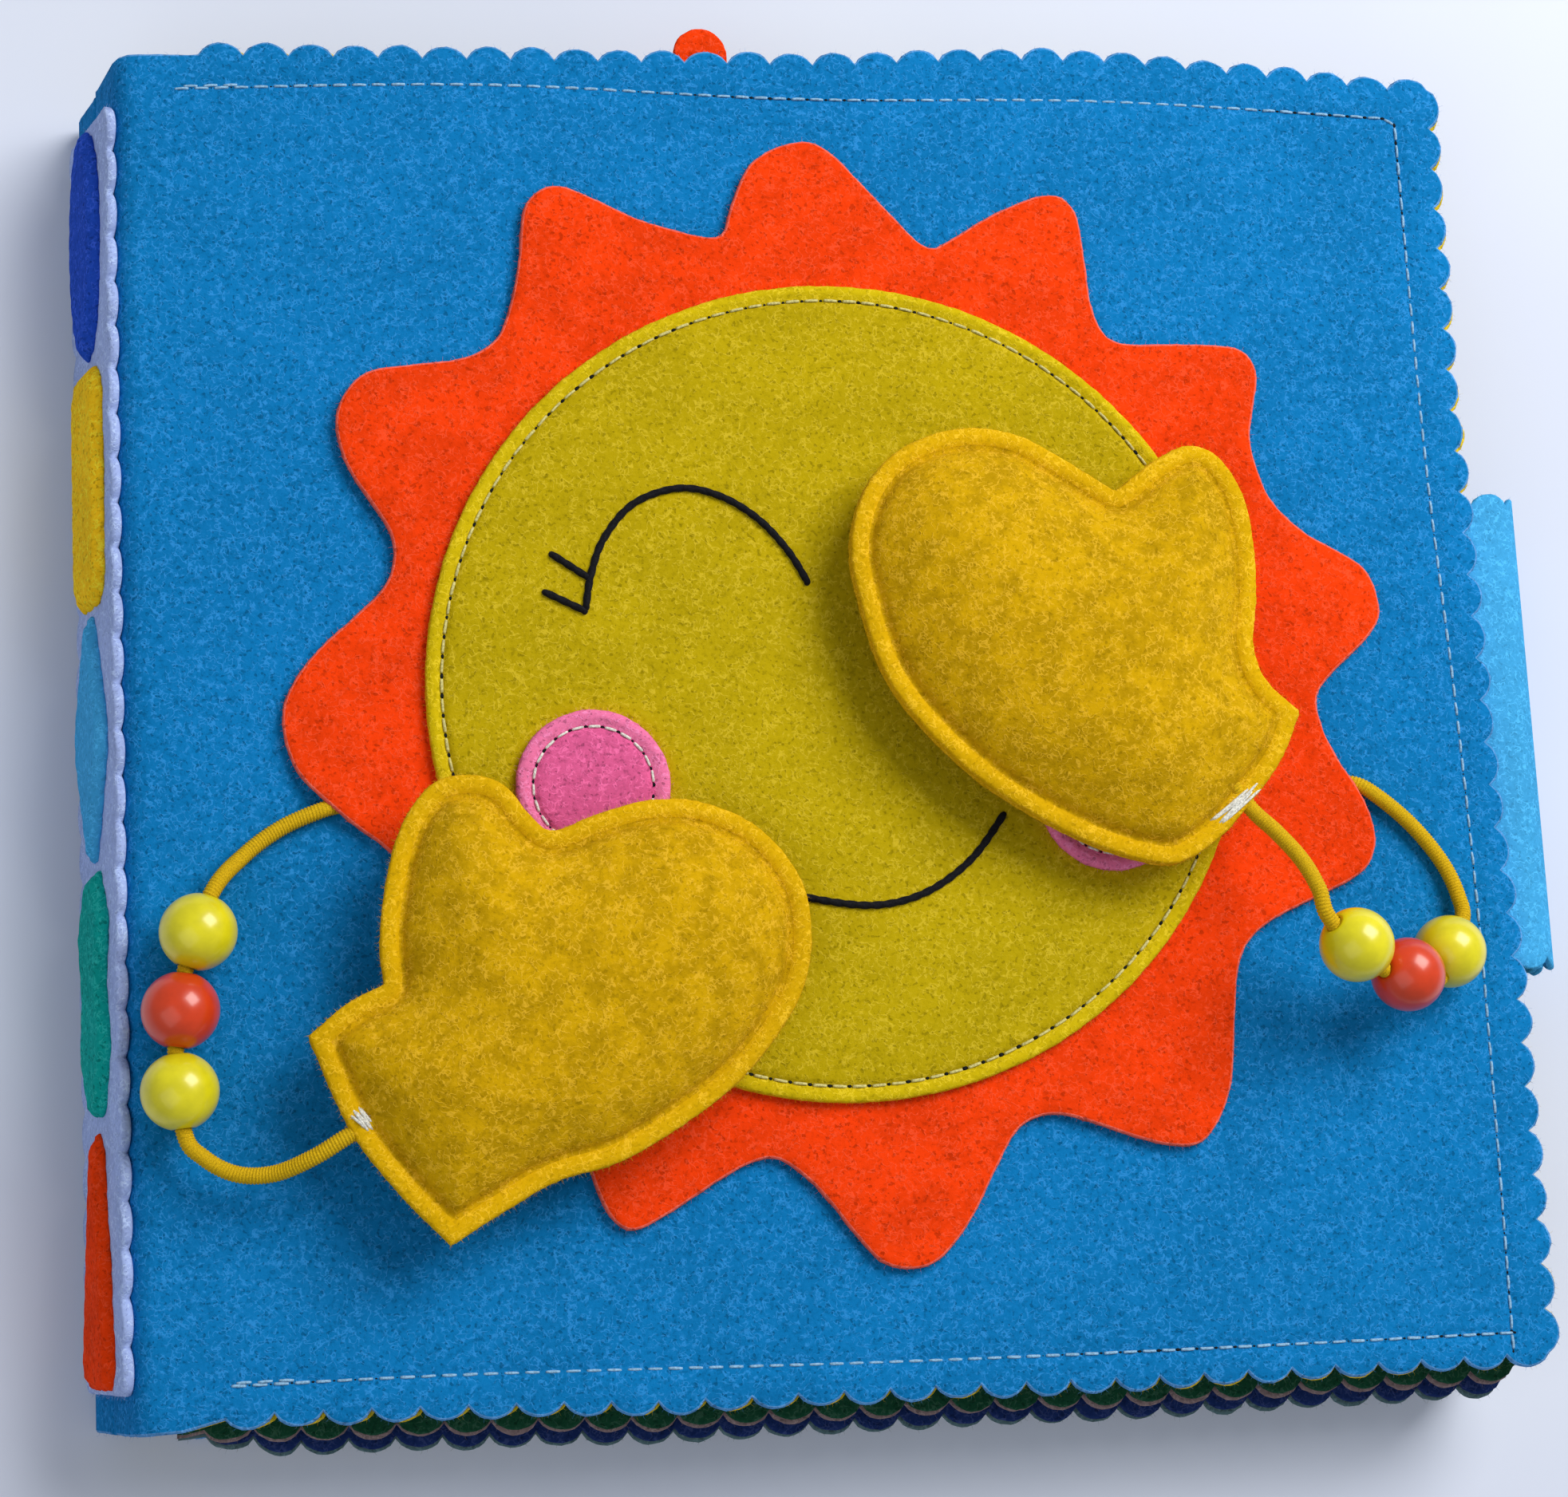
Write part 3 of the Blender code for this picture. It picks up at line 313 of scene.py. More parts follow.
class Shader:
    """The node tree of one material, with short calls for what felts and threads share."""

    def __init__(self, name, roughness, specular=0.03):
        self.material = LOOKS[name] = bpy.data.materials.new(name)
        self.material.use_nodes = True
        self.nodes = self.material.node_tree.nodes
        self.coordinates = self.nodes.new("ShaderNodeTexCoord").outputs["Object"]
        self.set({"Roughness": roughness, "Specular IOR Level": specular})

    def put(self, socket, value):
        if isinstance(value, bpy.types.NodeSocket):
            self.material.node_tree.links.new(value, socket)
        else:
            socket.default_value = (*value, 1) if socket.type == "RGBA" else value

    def set(self, values):
        for name, value in values.items():
            self.put(self.nodes["Principled BSDF"].inputs[name], value)

    def node(self, kind, values, **settings):
        made = self.nodes.new("ShaderNode" + kind)
        for name, setting in settings.items():
            setattr(made, name, setting)
        for socket, value in values:
            self.put(made.inputs[socket], value)
        return made.outputs

    def noise(self, scale, detail=2.0, roughness=0.5, vector=None, output=0):
        values = [("Vector", vector or self.coordinates), ("Scale", scale),
                  ("Detail", detail), ("Roughness", roughness)]
        return self.node("TexNoise", values)[output]

    def span(self, value, low, high, to_low=0.0, to_high=1.0):
        values = [("Value", value), ("From Min", low), ("From Max", high),
                  ("To Min", to_low), ("To Max", to_high)]
        return self.node("MapRange", values, interpolation_type="SMOOTHSTEP")[0]

    def maths(self, operation, first, second=0.0):
        return self.node("Math", [(0, first), (1, second)], operation=operation)[0]

    def vectors(self, operation, first, second):
        values = [(0, first), ("Scale" if operation == "SCALE" else 1, second)]
        return self.node("VectorMath", values, operation=operation)[0]

    def mix(self, share, first, second):
        return self.node("Mix", [("Factor", share), (6, first), (7, second)], data_type="RGBA")[2]

    def curled(self, amount, offset):
        """Coordinates moved about by noise, so that what reads them runs in curls."""
        wander = self.vectors("SUBTRACT", self.noise(700, output=1), (0.5, 0.5, 0.5))
        moved = self.vectors("ADD", self.coordinates, self.vectors("SCALE", wander, amount))
        return self.vectors("ADD", moved, offset)

    def shades(self, value, low, dark, pale):
        """Lets the colour run from dark to pale as a value passes its middle range."""
        self.set({"Base Color": self.mix(self.span(value, low, 1 - low), dark, pale)})

    def bump(self, height, strength, distance):
        values = [("Height", height), ("Strength", strength), ("Distance", distance)]
        self.set({"Normal": self.node("Bump", values)[0]})


def shade(colour, factor):
    return tuple(min(1.0, part * factor) for part in colour)


def tint(colour, share):
    return tuple(part * (1 - share) + share for part in colour)


def felt(name, colour, pale=0.50, specks=0.75, nap=0.015, mottle=0.06, mottle_size=0.016):
    """Needle felt: mottled ground, small pits between the fibres with painted shade in them, and
    fine paler fibres.
    """
    shader = Shader(name, 0.95)
    deep = shade(colour, 0.50)
    broad = shader.span(shader.noise(1 / mottle_size, 3.0, 0.6), 0.35, 0.65)
    ground = shader.mix(broad, shade(colour, 1 - mottle), shade(colour, 1 + mottle))
    fuzz = shader.noise(1100, 4.0, 0.7)
    ground = shader.mix(shader.span(fuzz, 0.28, 0.50, specks, 0), ground, deep)
    light = tint(shade(colour, 1.30), 0.010)
    ground = shader.mix(shader.span(fuzz, 0.50, 0.74, 0, pale * 0.8), ground, light)
    # Small pits between the fibres get painted shade; the bump sinks them too.
    pit_shade = shader.span(shader.noise(1300, 1.0, 0.4), 0.30, 0.37, specks, 0)
    ground = shader.mix(pit_shade, ground, deep)
    fibres = 0.0
    for offset, scale in (((0, 0, 0), 760), ((0.31, 0.17, 0.05), 1000)):
        curled = shader.curled(0.0009, offset)
        level = shader.maths("SUBTRACT", shader.noise(scale, 1.0, 0.5, curled), 0.5)
        line = shader.span(shader.maths("ABSOLUTE", level), 0.008, 0.055, 1, 0)
        part = shader.span(shader.noise(640, 1.0, 0.5, curled), 0.44, 0.60)
        fibres = shader.maths("MAXIMUM", fibres, shader.maths("MULTIPLY", line, part))
    hair = tint(shade(colour, 1.60), 0.030)
    ground = shader.mix(shader.maths("MULTIPLY", fibres, pale * 1.3), ground, hair)
    height = shader.maths("ADD", fuzz, shader.maths("MULTIPLY", fibres, 0.25))
    height = shader.maths("SUBTRACT", height, shader.maths("MULTIPLY", pit_shade, 0.5))
    shader.bump(height, 0.6, 0.00022)
    shader.set({"Base Color": ground, "Sheen Weight": nap, "Sheen Roughness": 0.5,
                "Sheen Tint": tint(colour, 0.3)})


def thread(name, colour, roughness=0.6, twist=0.00035):
    """Spun thread: fine uneven plies with a little sheen."""
    shader = Shader(name, roughness)
    plies = shader.noise(1 / twist)
    shader.shades(plies, 0.35, shade(colour, 0.72), shade(colour, 1.12))
    shader.bump(plies, 0.6, 0.00008)
    shader.set({"Sheen Weight": 0.03})


def gloss(name, colour):
    """Lacquered wooden bead: nearly even colour, slight unevenness in the lacquer."""
    shader = Shader(name, 0.30, 0.4)
    shader.shades(shader.noise(260, 3.0, 0.6), 0.3, shade(colour, 0.9), shade(colour, 1.06))
    shader.bump(shader.noise(420), 0.12, 0.0002)
    shader.set({"Coat Weight": 0.45, "Coat Roughness": 0.17})


def plain(name, colour, grain, depth):
    """Sheet stock with a fine grain."""
    shader = Shader(name, 0.9)
    spots = shader.noise(grain, 3.0, 0.6)
    shader.shades(spots, 0.3, shade(colour, 0.88), shade(colour, 1.08))
    shader.bump(spots, 0.4, depth)


BLUE = (0.004, 0.170, 0.440)
ORANGE = (0.830, 0.046, 0.003)
FACE = (0.450, 0.330, 0.003)
PINK = (0.680, 0.105, 0.270)
MITTEN = (0.530, 0.305, 0.002)

# The paler copies that follow some felts are for cut edges and rims: painted sheen of the fuzzy,
# translucent edges.
felt("blue_felt", BLUE)
felt("blue_cut_edge", tint(shade(BLUE, 1.15), 0.08))
felt("orange_felt", ORANGE, pale=0.40, specks=0.62, mottle=0.10, mottle_size=0.008)
felt("orange_cut_edge", tint(ORANGE, 0.08))
felt("face_felt", FACE, pale=0.40, specks=0.6)
felt("face_cut_edge", shade(FACE, 1.28), pale=0.40, specks=0.4)
felt("pink_felt", PINK)
felt("pink_cut_edge", tint(shade(PINK, 1.15), 0.06))
felt("mitten_felt", MITTEN, pale=0.45, specks=0.45, nap=0.03, mottle=0.16, mottle_size=0.0040)
felt("mitten_cut_edge", shade(MITTEN, 1.22), pale=0.45, specks=0.30, nap=0.03)
felt("sky_felt", (0.050, 0.340, 0.660), specks=0.35)
felt("lilac_felt", (0.340, 0.430, 0.740), specks=0.3, nap=0.1)
for look, colour in {
    "lining_felt": (0.620, 0.450, 0.020), "royal_felt": (0.015, 0.070, 0.480),
    "golden_felt": (0.930, 0.540, 0.012), "teal_felt": (0.004, 0.330, 0.290),
    "green_felt": (0.008, 0.056, 0.028), "mauve_felt": (0.210, 0.150, 0.150),
    "navy_felt": (0.010, 0.025, 0.110), "grey_teal_felt": (0.080, 0.140, 0.150),
    "mint_felt": (0.150, 0.620, 0.450), "pale_felt": (0.550, 0.570, 0.600),
}.items():
    felt(look, colour)
thread("black_thread", (0.010, 0.010, 0.013), 0.55)
thread("cream_thread", (0.620, 0.560, 0.220))
thread("white_thread", (0.740, 0.730, 0.660))
thread("blue_thread", (0.270, 0.480, 0.680))
thread("lilac_thread", (0.700, 0.720, 0.860))
thread("cord_cover", (0.640, 0.400, 0.008), 0.5, 0.00018)
gloss("bead_yellow", (0.720, 0.640, 0.008))
gloss("bead_orange", (0.620, 0.045, 0.006))
# dark cones at the needle holes: painted shade
plain("hole_shade", (0.012, 0.014, 0.016), 900, 0.0001)
plain("board", (0.70, 0.70, 0.68), 500, 0.0001)
plain("fastener", (0.100, 0.350, 0.550), 1400, 0.0004)


# ---- Outlines ----
def smooth_line(points, steps, closed):
    """Points on a smooth curve through the given ones, steps to each span."""
    points = [Vector(point) for point in points]
    count = len(points)
    line = []
    for i in range(count if closed else count - 1):
        near = [i - 1, i, i + 1, i + 2]
        if not closed:
            near = [min(max(j, 0), count - 1) for j in near]
        before, here, there, after = (points[j % count] for j in near)
        for step in range(steps):
            t = step / steps
            slope_here, slope_there = (there - before) / 2, (after - here) / 2
            line.append(
                here * (2 * t**3 - 3 * t**2 + 1) + slope_here * (t**3 - 2 * t**2 + t)
                + there * (3 * t**2 - 2 * t**3) + slope_there * (t**3 - t**2)
            )
    if not closed:
        line.append(points[-1])
    return line


def spread(points, step):
    """The same line with its points an even step apart."""
    result = [points[0].copy()]
    left = step
    for here, there in zip(points, points[1:]):
        run = there - here
        length = run.length
        along = left
        while along <= length:
            result.append(here + run * (along / length))
            along += step
        left = along - length
    return result


def straight(start, end, count):
    """Evenly spaced points from start towards end, without the end."""
    (x, y), (far_x, far_y) = start, end
    return [Vector((x + (far_x - x) * i / count, y + (far_y - y) * i / count))
            for i in range(count)]


def pinked(start, end, outward, chance):
    """Points of one pinked side: round lobes that meet in sharp nicks."""
    start, end, outward = Vector(start), Vector(end), Vector(outward)
    run = end - start
    lobes = round(run.length / SCALLOP_PITCH)
    side = []
    for lobe in range(lobes):
        depth = SCALLOP_DEPTH * chance.uniform(0.86, 1.04)
        for step in range(LOBE_STEPS):
            t = lobe + step / LOBE_STEPS
            rise = abs(math.sin(math.pi * t)) ** LOBE_POWER
            side.append(start + run * (t / lobes) + outward * (depth * rise))
    return side


def panel(left, right, bottom, top, chance, plain_edge):
    """A panel with a straight left side and pinked other sides, counter-clockwise."""
    right, bottom, top = right - EDGE_INSET, bottom + EDGE_INSET, top - EDGE_INSET
    start = left + plain_edge
    steps = max(2, round(plain_edge / SCALLOP_PITCH * LOBE_STEPS / 2))
    loop = straight((left, bottom), (start, bottom), steps)
    loop += pinked((start, bottom), (right, bottom), (0, -1), chance)
    loop += pinked((right, bottom), (right, top), (1, 0), chance)
    loop += pinked((right, top), (start, top), (0, 1), chance)
    loop += straight((start, top), (left, top), steps)
    return loop + straight((left, top), (left, bottom), round((top - bottom) / SCALLOP_PITCH * 2))


def pinked_strip(left, right, bottom, top, side_steps, chance):
    """A strip that is pinked along its bottom and its top, counter-clockwise."""
    loop = pinked((left, bottom), (right, bottom), (0, -1), chance)
    loop += straight((right, bottom), (right, top), side_steps)
    loop += pinked((right, top), (left, top), (0, 1), chance)
    return loop + straight((left, top), (left, bottom), side_steps)


def wandered(point, top_share):
    """A point of a cut edge, moved off the straight as the scissors wandered."""
    x, y = point
    share = y / HEIGHT
    up = np.interp(x, *zip(*TOP_WANDER)) * share * top_share
    up += np.interp(x, *zip(*BOTTOM_WANDER)) * (1 - share)
    out = np.interp(y, *zip(*SIDE_WANDER)) * max(x, 0) / WIDTH
    return Vector((x + out, y + up))


def circle(radius, sides, centre=(0, 0)):
    turns = [2 * math.pi * i / sides for i in range(sides)]
    return [Vector((centre[0] + radius * math.cos(a), centre[1] + radius * math.sin(a)))
            for a in turns]


def doubled_area(loop):
    return sum(a.x * b.y - b.x * a.y for a, b in zip(loop, loop[1:] + loop[:1]))


def cad_outline(node):
    """The outline of a flat CAD node's upper face, counter-clockwise."""
    mesh = frame["nodes"][node].data
    high = max(vertex.co.z for vertex in mesh.vertices)
    follows = {}
    spots = {}

    def key(vertex):
        return (round(vertex.co.x, 6), round(vertex.co.y, 6))

    for face in mesh.polygons:
        corners = [mesh.vertices[i] for i in face.vertices]
        if min(corner.co.z for corner in corners) < high - FELT / 4:
            continue
        for here, there in zip(corners, corners[1:] + corners[:1]):
            spots[key(here)] = Vector(here.co.xy)
            follows.setdefault(key(here), set()).add(key(there))
    rim = {here: {there for there in after if here not in follows.get(there, ())}
           for here, after in follows.items()}
    start = next(here for here in rim if rim[here])
    loop = [start]
    while len(loop) <= len(rim):
        there = next(iter(rim[loop[-1]]))
        if there == start:
            break
        loop.append(there)
    return [spots[here] for here in loop]


def route_length(route):
    return sum((there - here).length for here, there in zip(route, route[1:]))


def spread_loop(loop, step):
    """The same closed line with its points an even step apart, near the one given."""
    total = route_length(loop + loop[:1])
    count = round(total / step)
    return spread(loop + loop[:1], total / count)[:count]


# ---- Tubes ----
def frames_along(route):
    """A right and an up direction at each point of a route, without twist."""
    frames = []
    side = None
    for i in range(len(route)):
        ahead = (route[min(i + 1, len(route) - 1)] - route[max(i - 1, 0)]).normalized()
        if side is None:
            side = ahead.cross(Vector((0, 0, 1)))
            if side.length < 0.1:
                side = ahead.cross(Vector((1, 0, 0)))
        side = (side - ahead * side.dot(ahead)).normalized()
        frames.append((side, ahead.cross(side)))
    return frames


def tube(shape, route, sides, radius):
    """Adds a closed tube to a mesh; radius(distance, angle) gives its skin."""
    rings = []
    distance = 0.0
    for i, (spot, (right, up)) in enumerate(zip(route, frames_along(route))):
        if i:
            distance += (route[i] - route[i - 1]).length
        ring = []
        for j in range(sides):
            angle = 2 * math.pi * j / sides
            reach = radius(distance, angle)
            outward = right * math.cos(angle) + up * math.sin(angle)
            ring.append(shape.verts.new(spot + outward * reach))
        rings.append(ring)
    for here, there in zip(rings, rings[1:]):
        for j in range(sides):
            k = (j + 1) % sides
            shape.faces.new((here[j], here[k], there[k], there[j]))
    shape.faces.new(rings[0][::-1])
    shape.faces.new(rings[-1])


# ---- Felt pieces ----
def inset(loop, amount):
    """A closed loop with each point moved inwards, which is to its left."""
    result = []
    for i, here in enumerate(loop):
        run = loop[(i + 1) % len(loop)] - loop[i - 1]
        result.append(here + Vector((-run.y, run.x)).normalized() * amount)
    return result


def distances(points, loop):
    """How far each point is from a loop of close points."""
    edge = np.array([tuple(point) for point in loop])
    result = []
    for start in range(0, len(points), 400):
        part = np.array([tuple(point) for point in points[start:start + 400]])
        gaps = part[:, None, :] - edge[None, :, :]
        result += list(np.sqrt((gaps**2).sum(axis=2).min(axis=1)))
    return result


def is_inside(points, loop):
    edge = np.array([tuple(point) for point in loop])
    after = np.roll(edge, -1, axis=0)
    spots = np.array([tuple(point) for point in points])
    within = np.zeros(len(spots), bool)
    for (x0, y0), (x1, y1) in zip(edge, after):
        if y0 == y1:
            continue
        crosses = (spots[:, 1] > min(y0, y1)) & (spots[:, 1] <= max(y0, y1))
        reach = x0 + (spots[:, 1] - y0) * (x1 - x0) / (y1 - y0)
        within ^= crosses & (spots[:, 0] < reach)
    return within


def grid(low, high, spacing, dense=(), dense_step=0.0007, dense_count=3):
    """Values from low to high, closer together round the dense ones."""
    count = max(1, round((high - low) / spacing))
    values = [low + (high - low) * (i + 0.5) / count for i in range(count)]
    values = [v for v in values if all(abs(v - d) > dense_step * (dense_count + 1) for d in dense)]
    for centre in dense:
        values += [centre + dense_step * i for i in range(-dense_count, dense_count + 1)]
    return sorted(v for v in values if low < v < high)


def fill_points(loop, bands, us, vs, band_margin):
    """Free points inside a loop: bands that follow its edge, then a grid."""
    free = []
    for band in bands:
        points = inset(loop, band)
        gaps = distances(points, loop)
        free += [point for point, gap in zip(points, gaps) if gap > band * 0.96]
    spots = [Vector((u, v)) for u in us for v in vs]
    if not spots:
        return free
    inner = is_inside(spots, loop)
    gaps = distances(spots, loop)
    least = (max(bands) if bands else EDGE_ROUND) + band_margin
    return free + [spot for spot, inside, gap in zip(spots, inner, gaps) if inside and gap > least]


def ripple(u, v, seed, size, height):
    return noise.noise(Vector((u / size, v / size, seed))) * height


def step_up(value, low, high):
    t = min(max((value - low) / (high - low), 0.0), 1.0)
    return t * t * (3 - 2 * t)


def groove(gap, centre, half_width, depth):
    return depth * math.exp(-((gap - centre) / half_width) ** 2)


def grow_lint(shape, roots, share, chance, pale):
    """Short stray fibres that stand out of a felt at some of its vertices; pale ones take the
    felt's paler copy, which is painted sheen.
    """
    for root in roots:
        for _ in range(math.ceil(share)):
            if chance.random() > share / math.ceil(share):
                continue
            reach = chance.uniform(*LINT_LENGTH)
            wander = [Vector([chance.gauss(0, 0.45) for _ in range(3)]) for _ in range(2)]
            ahead = (root.normal + wander[0]).normalized()
            curl = (ahead + wander[1]).normalized()
            base = root.co - ahead * 0.0001
            line = [base, base + ahead * reach / 2, base + ahead * reach / 2 + curl * reach / 2]
            made = len(shape.faces)
            tube(shape, line, 3, lambda s, a: LINT_RADIUS * (1 - 0.7 * s / reach))
            shape.faces.ensure_lookup_table()
            for face in shape.faces[made:]:
                face.material_index = 1 if pale else 0


def to_object(name, shape, look):
    bmesh.ops.recalc_face_normals(shape, faces=shape.faces)
    for face in shape.faces:
        face.smooth = True
    mesh = bpy.data.meshes.new(name)
    shape.to_mesh(mesh)
    shape.free()
    mesh.materials.append(LOOKS[look])
    piece = bpy.data.objects.new(name, mesh)
    bpy.context.scene.collection.objects.link(piece)
    return piece


def felt_piece(name, loop, skin, place, look, us, vs, margin, bands=(), extra=(), cut=False,
               cut_from=-1.0, lint=0.0, nap=0.0, rim_gap=0.0):
    """A closed piece of felt with softly cut edges.

    loop is its outline on the flat, skin(u, v, gap) gives its underside and top there, where gap
    is the distance from the edge, and place(u, v, h) bends it into the book. us, vs, margin,
    bands and extra say where its inner points lie. A cut piece has paler edges from cut_from on
    and a paler rim as wide as rim_gap: painted sheen of the fuzzy edges. lint and nap are the
    shares of points with stray fibres.
    """
    area = doubled_area(loop)
    loop = loop if area > 0 else loop[::-1]
    rim = inset(loop, EDGE_ROUND)
    free = fill_points(rim, bands, us, vs, margin) + list(extra)
    count = len(rim)
    edges = [(i, (i + 1) % count) for i in range(count)]
    found = delaunay_2d_cdt([Vector(point[:2]) for point in rim + free], edges, [], 1, 1e-8)
    flat, triangles, origins = found[0], found[2], found[3]
    home = {source: i for i, sources in enumerate(origins) for source in sources}
    gaps = distances(flat, loop)
    shape = bmesh.new()
    skins = []
    for top in (True, False):
        row = []
        for point, gap in zip(flat, gaps):
            heights = skin(point.x, point.y, gap)
            row.append(shape.verts.new(place(point.x, point.y, heights[1 if top else 0])))
        for corners in triangles:
            face = shape.faces.new([row[i] for i in (corners if top else reversed(corners))])
            face.material_index = 1 if max(gaps[i] for i in corners) < rim_gap else 0
        skins.append(row)
    rings = [[skins[0][home[i]] for i in range(count)]]
    for amount, low_share in ((EDGE_SOFT, 0.12), (0, 0.36), (0, 0.64), (EDGE_SOFT, 0.88)):
        ring = []
        for i, point in enumerate(inset(loop, amount)):
            low, high = skin(point.x, point.y, amount)
            fray = noise.noise(Vector((point.x, point.y, low_share * 0.002)) * 1100) * EDGE_FRAY
            outward = (loop[i] - rim[i]).normalized() * fray
            height = high + (low - high) * low_share
            ring.append(shape.verts.new(place(point.x + outward.x, point.y + outward.y, height)))
        rings.append(ring)
    rings.append([skins[1][home[i]] for i in range(count)])
    for upper, lower in zip(rings, rings[1:]):
        for i in range(count):
            j = (i + 1) % count
            face = shape.faces.new((upper[j], upper[i], lower[i], lower[j]))
            face.material_index = 1 if cut and loop[i].x > cut_from else 0
    if lint or nap:
        bmesh.ops.recalc_face_normals(shape, faces=shape.faces)
        shape.normal_update()
        chance = random.Random(name)
        edge = [vertex for i, vertex in enumerate(rings[2]) if loop[i].x > cut_from]
        grow_lint(shape, edge, lint, chance, cut)
        grow_lint(shape, skins[0] + skins[1], nap, chance, cut)
    spans = [max(p[i] for p in loop) - min(p[i] for p in loop) for i in range(2)]
    piece = to_object(name, shape, look)
    # the paler copy of the felt on its edges and rim is painted sheen
    if cut:
        piece.data.materials.append(LOOKS[look.replace("felt", "cut_edge")])
    return piece


def finish_piece(piece, hold, slot, *nodes, sheet=None):
    """Holds a piece on its body, or bakes its place into its mesh when it spans two bodies, and
    hides the CAD nodes it stands for.
    """
    if isinstance(hold, str):
        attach(piece, hold)
    else:
        first, second, start, end = hold
        tuple(start)
        tuple(end)
        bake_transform(piece)
    if nodes:
        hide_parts(*nodes)
    return piece


def bent(corner, before, after, radius):
    """place(t, v, h) along a line that turns round a corner; h is to the outside of the bend."""
    before, after = Vector(before).normalized(), Vector(after).normalized()
    angle = before.angle(after)
    reach = radius * math.tan(angle / 2)
    outside = (before - after).normalized()
    centre = Vector(corner) - outside * (radius / math.cos(angle / 2))
    normal_before = (outside - before * outside.dot(before)).normalized()
    normal_after = (outside - after * outside.dot(after)).normalized()

    def place(t, v, h):
        turned = (t + reach) / radius
        if turned <= 0:
            spot, normal = Vector(corner) + before * t, normal_before
        elif turned < angle:
            normal = normal_before * math.cos(turned) + before * math.sin(turned)
            spot = centre + normal * radius
        else:
            rest = t + reach - radius * angle
            spot, normal = Vector(corner) + after * (reach + rest), normal_after
        x, z = spot + normal * h
        return Vector((LEFT + x, BOTTOM + v, COVER_Z + z))

    return place


# ---- Cord arms ----
def cuff_span(side, arm_exit):
    """Where a mitten's joint starts and ends turning its cord, so that the exit stays behind."""
    joint = joint_of(f"{side}_mitten")
    middle = Vector(joint["pos_m"])
    inward = Vector((0, 0, 1)).cross(Vector(joint["axis"]).normalized())
    low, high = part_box(f"{side}_mitten_front")
    if inward.dot((low + high) / 2 - middle) < 0:
        inward = -inward
    away = middle - arm_exit
    away.z = 0
    across = (inward + away.normalized()).normalized()
    return middle - across * CUFF_REACH, middle + across * CUFF_REACH / 2


def make_bead(side, number):
    """A round bored bead, in place of its CAD node and turned to its cord."""
    node = f"bead_{side}_{number}"
    joint = joint_of(node)
    centre = Vector(joint["pos_m"])
    bore = CORD_DIAMETER / 2 + BEAD_BORE_CLEARANCE
    reach = math.acos(bore / BEAD_RADIUS)
    profile = []
    for i in range(BEAD_RINGS + 1):
        angle = reach - 2 * reach * i / BEAD_RINGS
        lip = BEAD_RADIUS * (1 - BEAD_LIP * step_up(abs(angle), reach * 0.93, reach))
        profile.append((lip * math.cos(angle), lip * math.sin(angle)))
    profile += [(bore, -BEAD_RADIUS * math.sin(reach) * share) for share in (0.97, 0, -0.97)]
    turn = Vector((0, 0, 1)).rotation_difference(Vector(joint["axis"]).normalized()).to_matrix()
    shape = bmesh.new()
    rings = []
    for j in range(BEAD_SIDES):
        a = 2 * math.pi * j / BEAD_SIDES
        ring = [Vector((r * math.cos(a), r * math.sin(a), h)) for r, h in profile]
        rings.append([shape.verts.new(centre + turn @ spot) for spot in ring])
    for here, there in zip(rings, rings[1:] + rings[:1]):
        for i in range(len(profile)):
            k = (i + 1) % len(profile)
            shape.faces.new((here[i], here[k], there[k], there[i]))
    look = "bead_orange" if number == 2 else "bead_yellow"
    return finish_piece(to_object(f"round_{node}", shape, look), node, look, node)


def make_arm(side, middle, points):
    """A cord arm: elastic cord wound with fine thread, through three beads into the cuff."""
    given = [book(middle[0] + x, middle[1] + y, h) for x, y, h in points]
    sunward = (book(*FACE_PLACE) - given[0]).normalized()
    backward = (given[0] - given[1]).normalized()
    tucked = given[0] + (sunward * 2 + backward).normalized() * CORD_TUCK
    tucked.z = COVER_Z + CORD_TUCK_HEIGHT
    inside = given[-1] + (given[-1] - given[-2]).normalized() * CORD_REACH_IN
    inside.z = given[-1].z
    route = spread(smooth_line([tucked] + given + [inside], 16, False), CORD_STEP)

    def ribbed(distance, angle):
        wave = math.sin(2 * math.pi * distance / CORD_RIB_PITCH + angle)
        return CORD_DIAMETER / 2 * (CORD_WAVE[0] + CORD_WAVE[1] * wave)

    shape = bmesh.new()
    tube(shape, route, CORD_SIDES, ribbed)
    cord = to_object(f"elastic_cord_{side}", shape, "cord_cover")
    hold = ("front_cover", f"{side}_mitten", *cuff_span(side, given[0]))
    finish_piece(cord, hold, "cord", f"arm_cord_{side}")
    beads = [make_bead(side, number) for number in (1, 2, 3)]
    path = [tuple(spot) for spot in route[::8]] + [tuple(route[-1])]
    tuple(route[0])
    route_length(route)


make_arm("left", LEFT_MITTEN_PLACE, LEFT_ARM)
make_arm("right", RIGHT_MITTEN_PLACE, RIGHT_ARM)


# ---- Covers and spine ----
def layer(node):
    """Underside and top of a flat CAD node, from the cover's face."""
    low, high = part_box(node)
    return low.z - COVER_Z, high.z - COVER_Z


FRONT_FOLD = Vector((0, -FELT / 2))
BACK_FOLD = Vector((-SPINE_LEAN, FELT / 2 - COVER_Z))
SPINE_LINE = BACK_FOLD - FRONT_FOLD
COVER_SEAM_LINE = smooth_line(COVER_SEAM[:5], 40, False) + smooth_line(COVER_SEAM[4:], 40, False)
BOTTOM_SEAM_LINE = smooth_line(BOTTOM_SEAM, 40, False)
SEAM_SPOTS = np.array([tuple(point) for line in (COVER_SEAM_LINE, BOTTOM_SEAM_LINE)
                       for point in spread(line, SEAM_SPOT_STEP)])


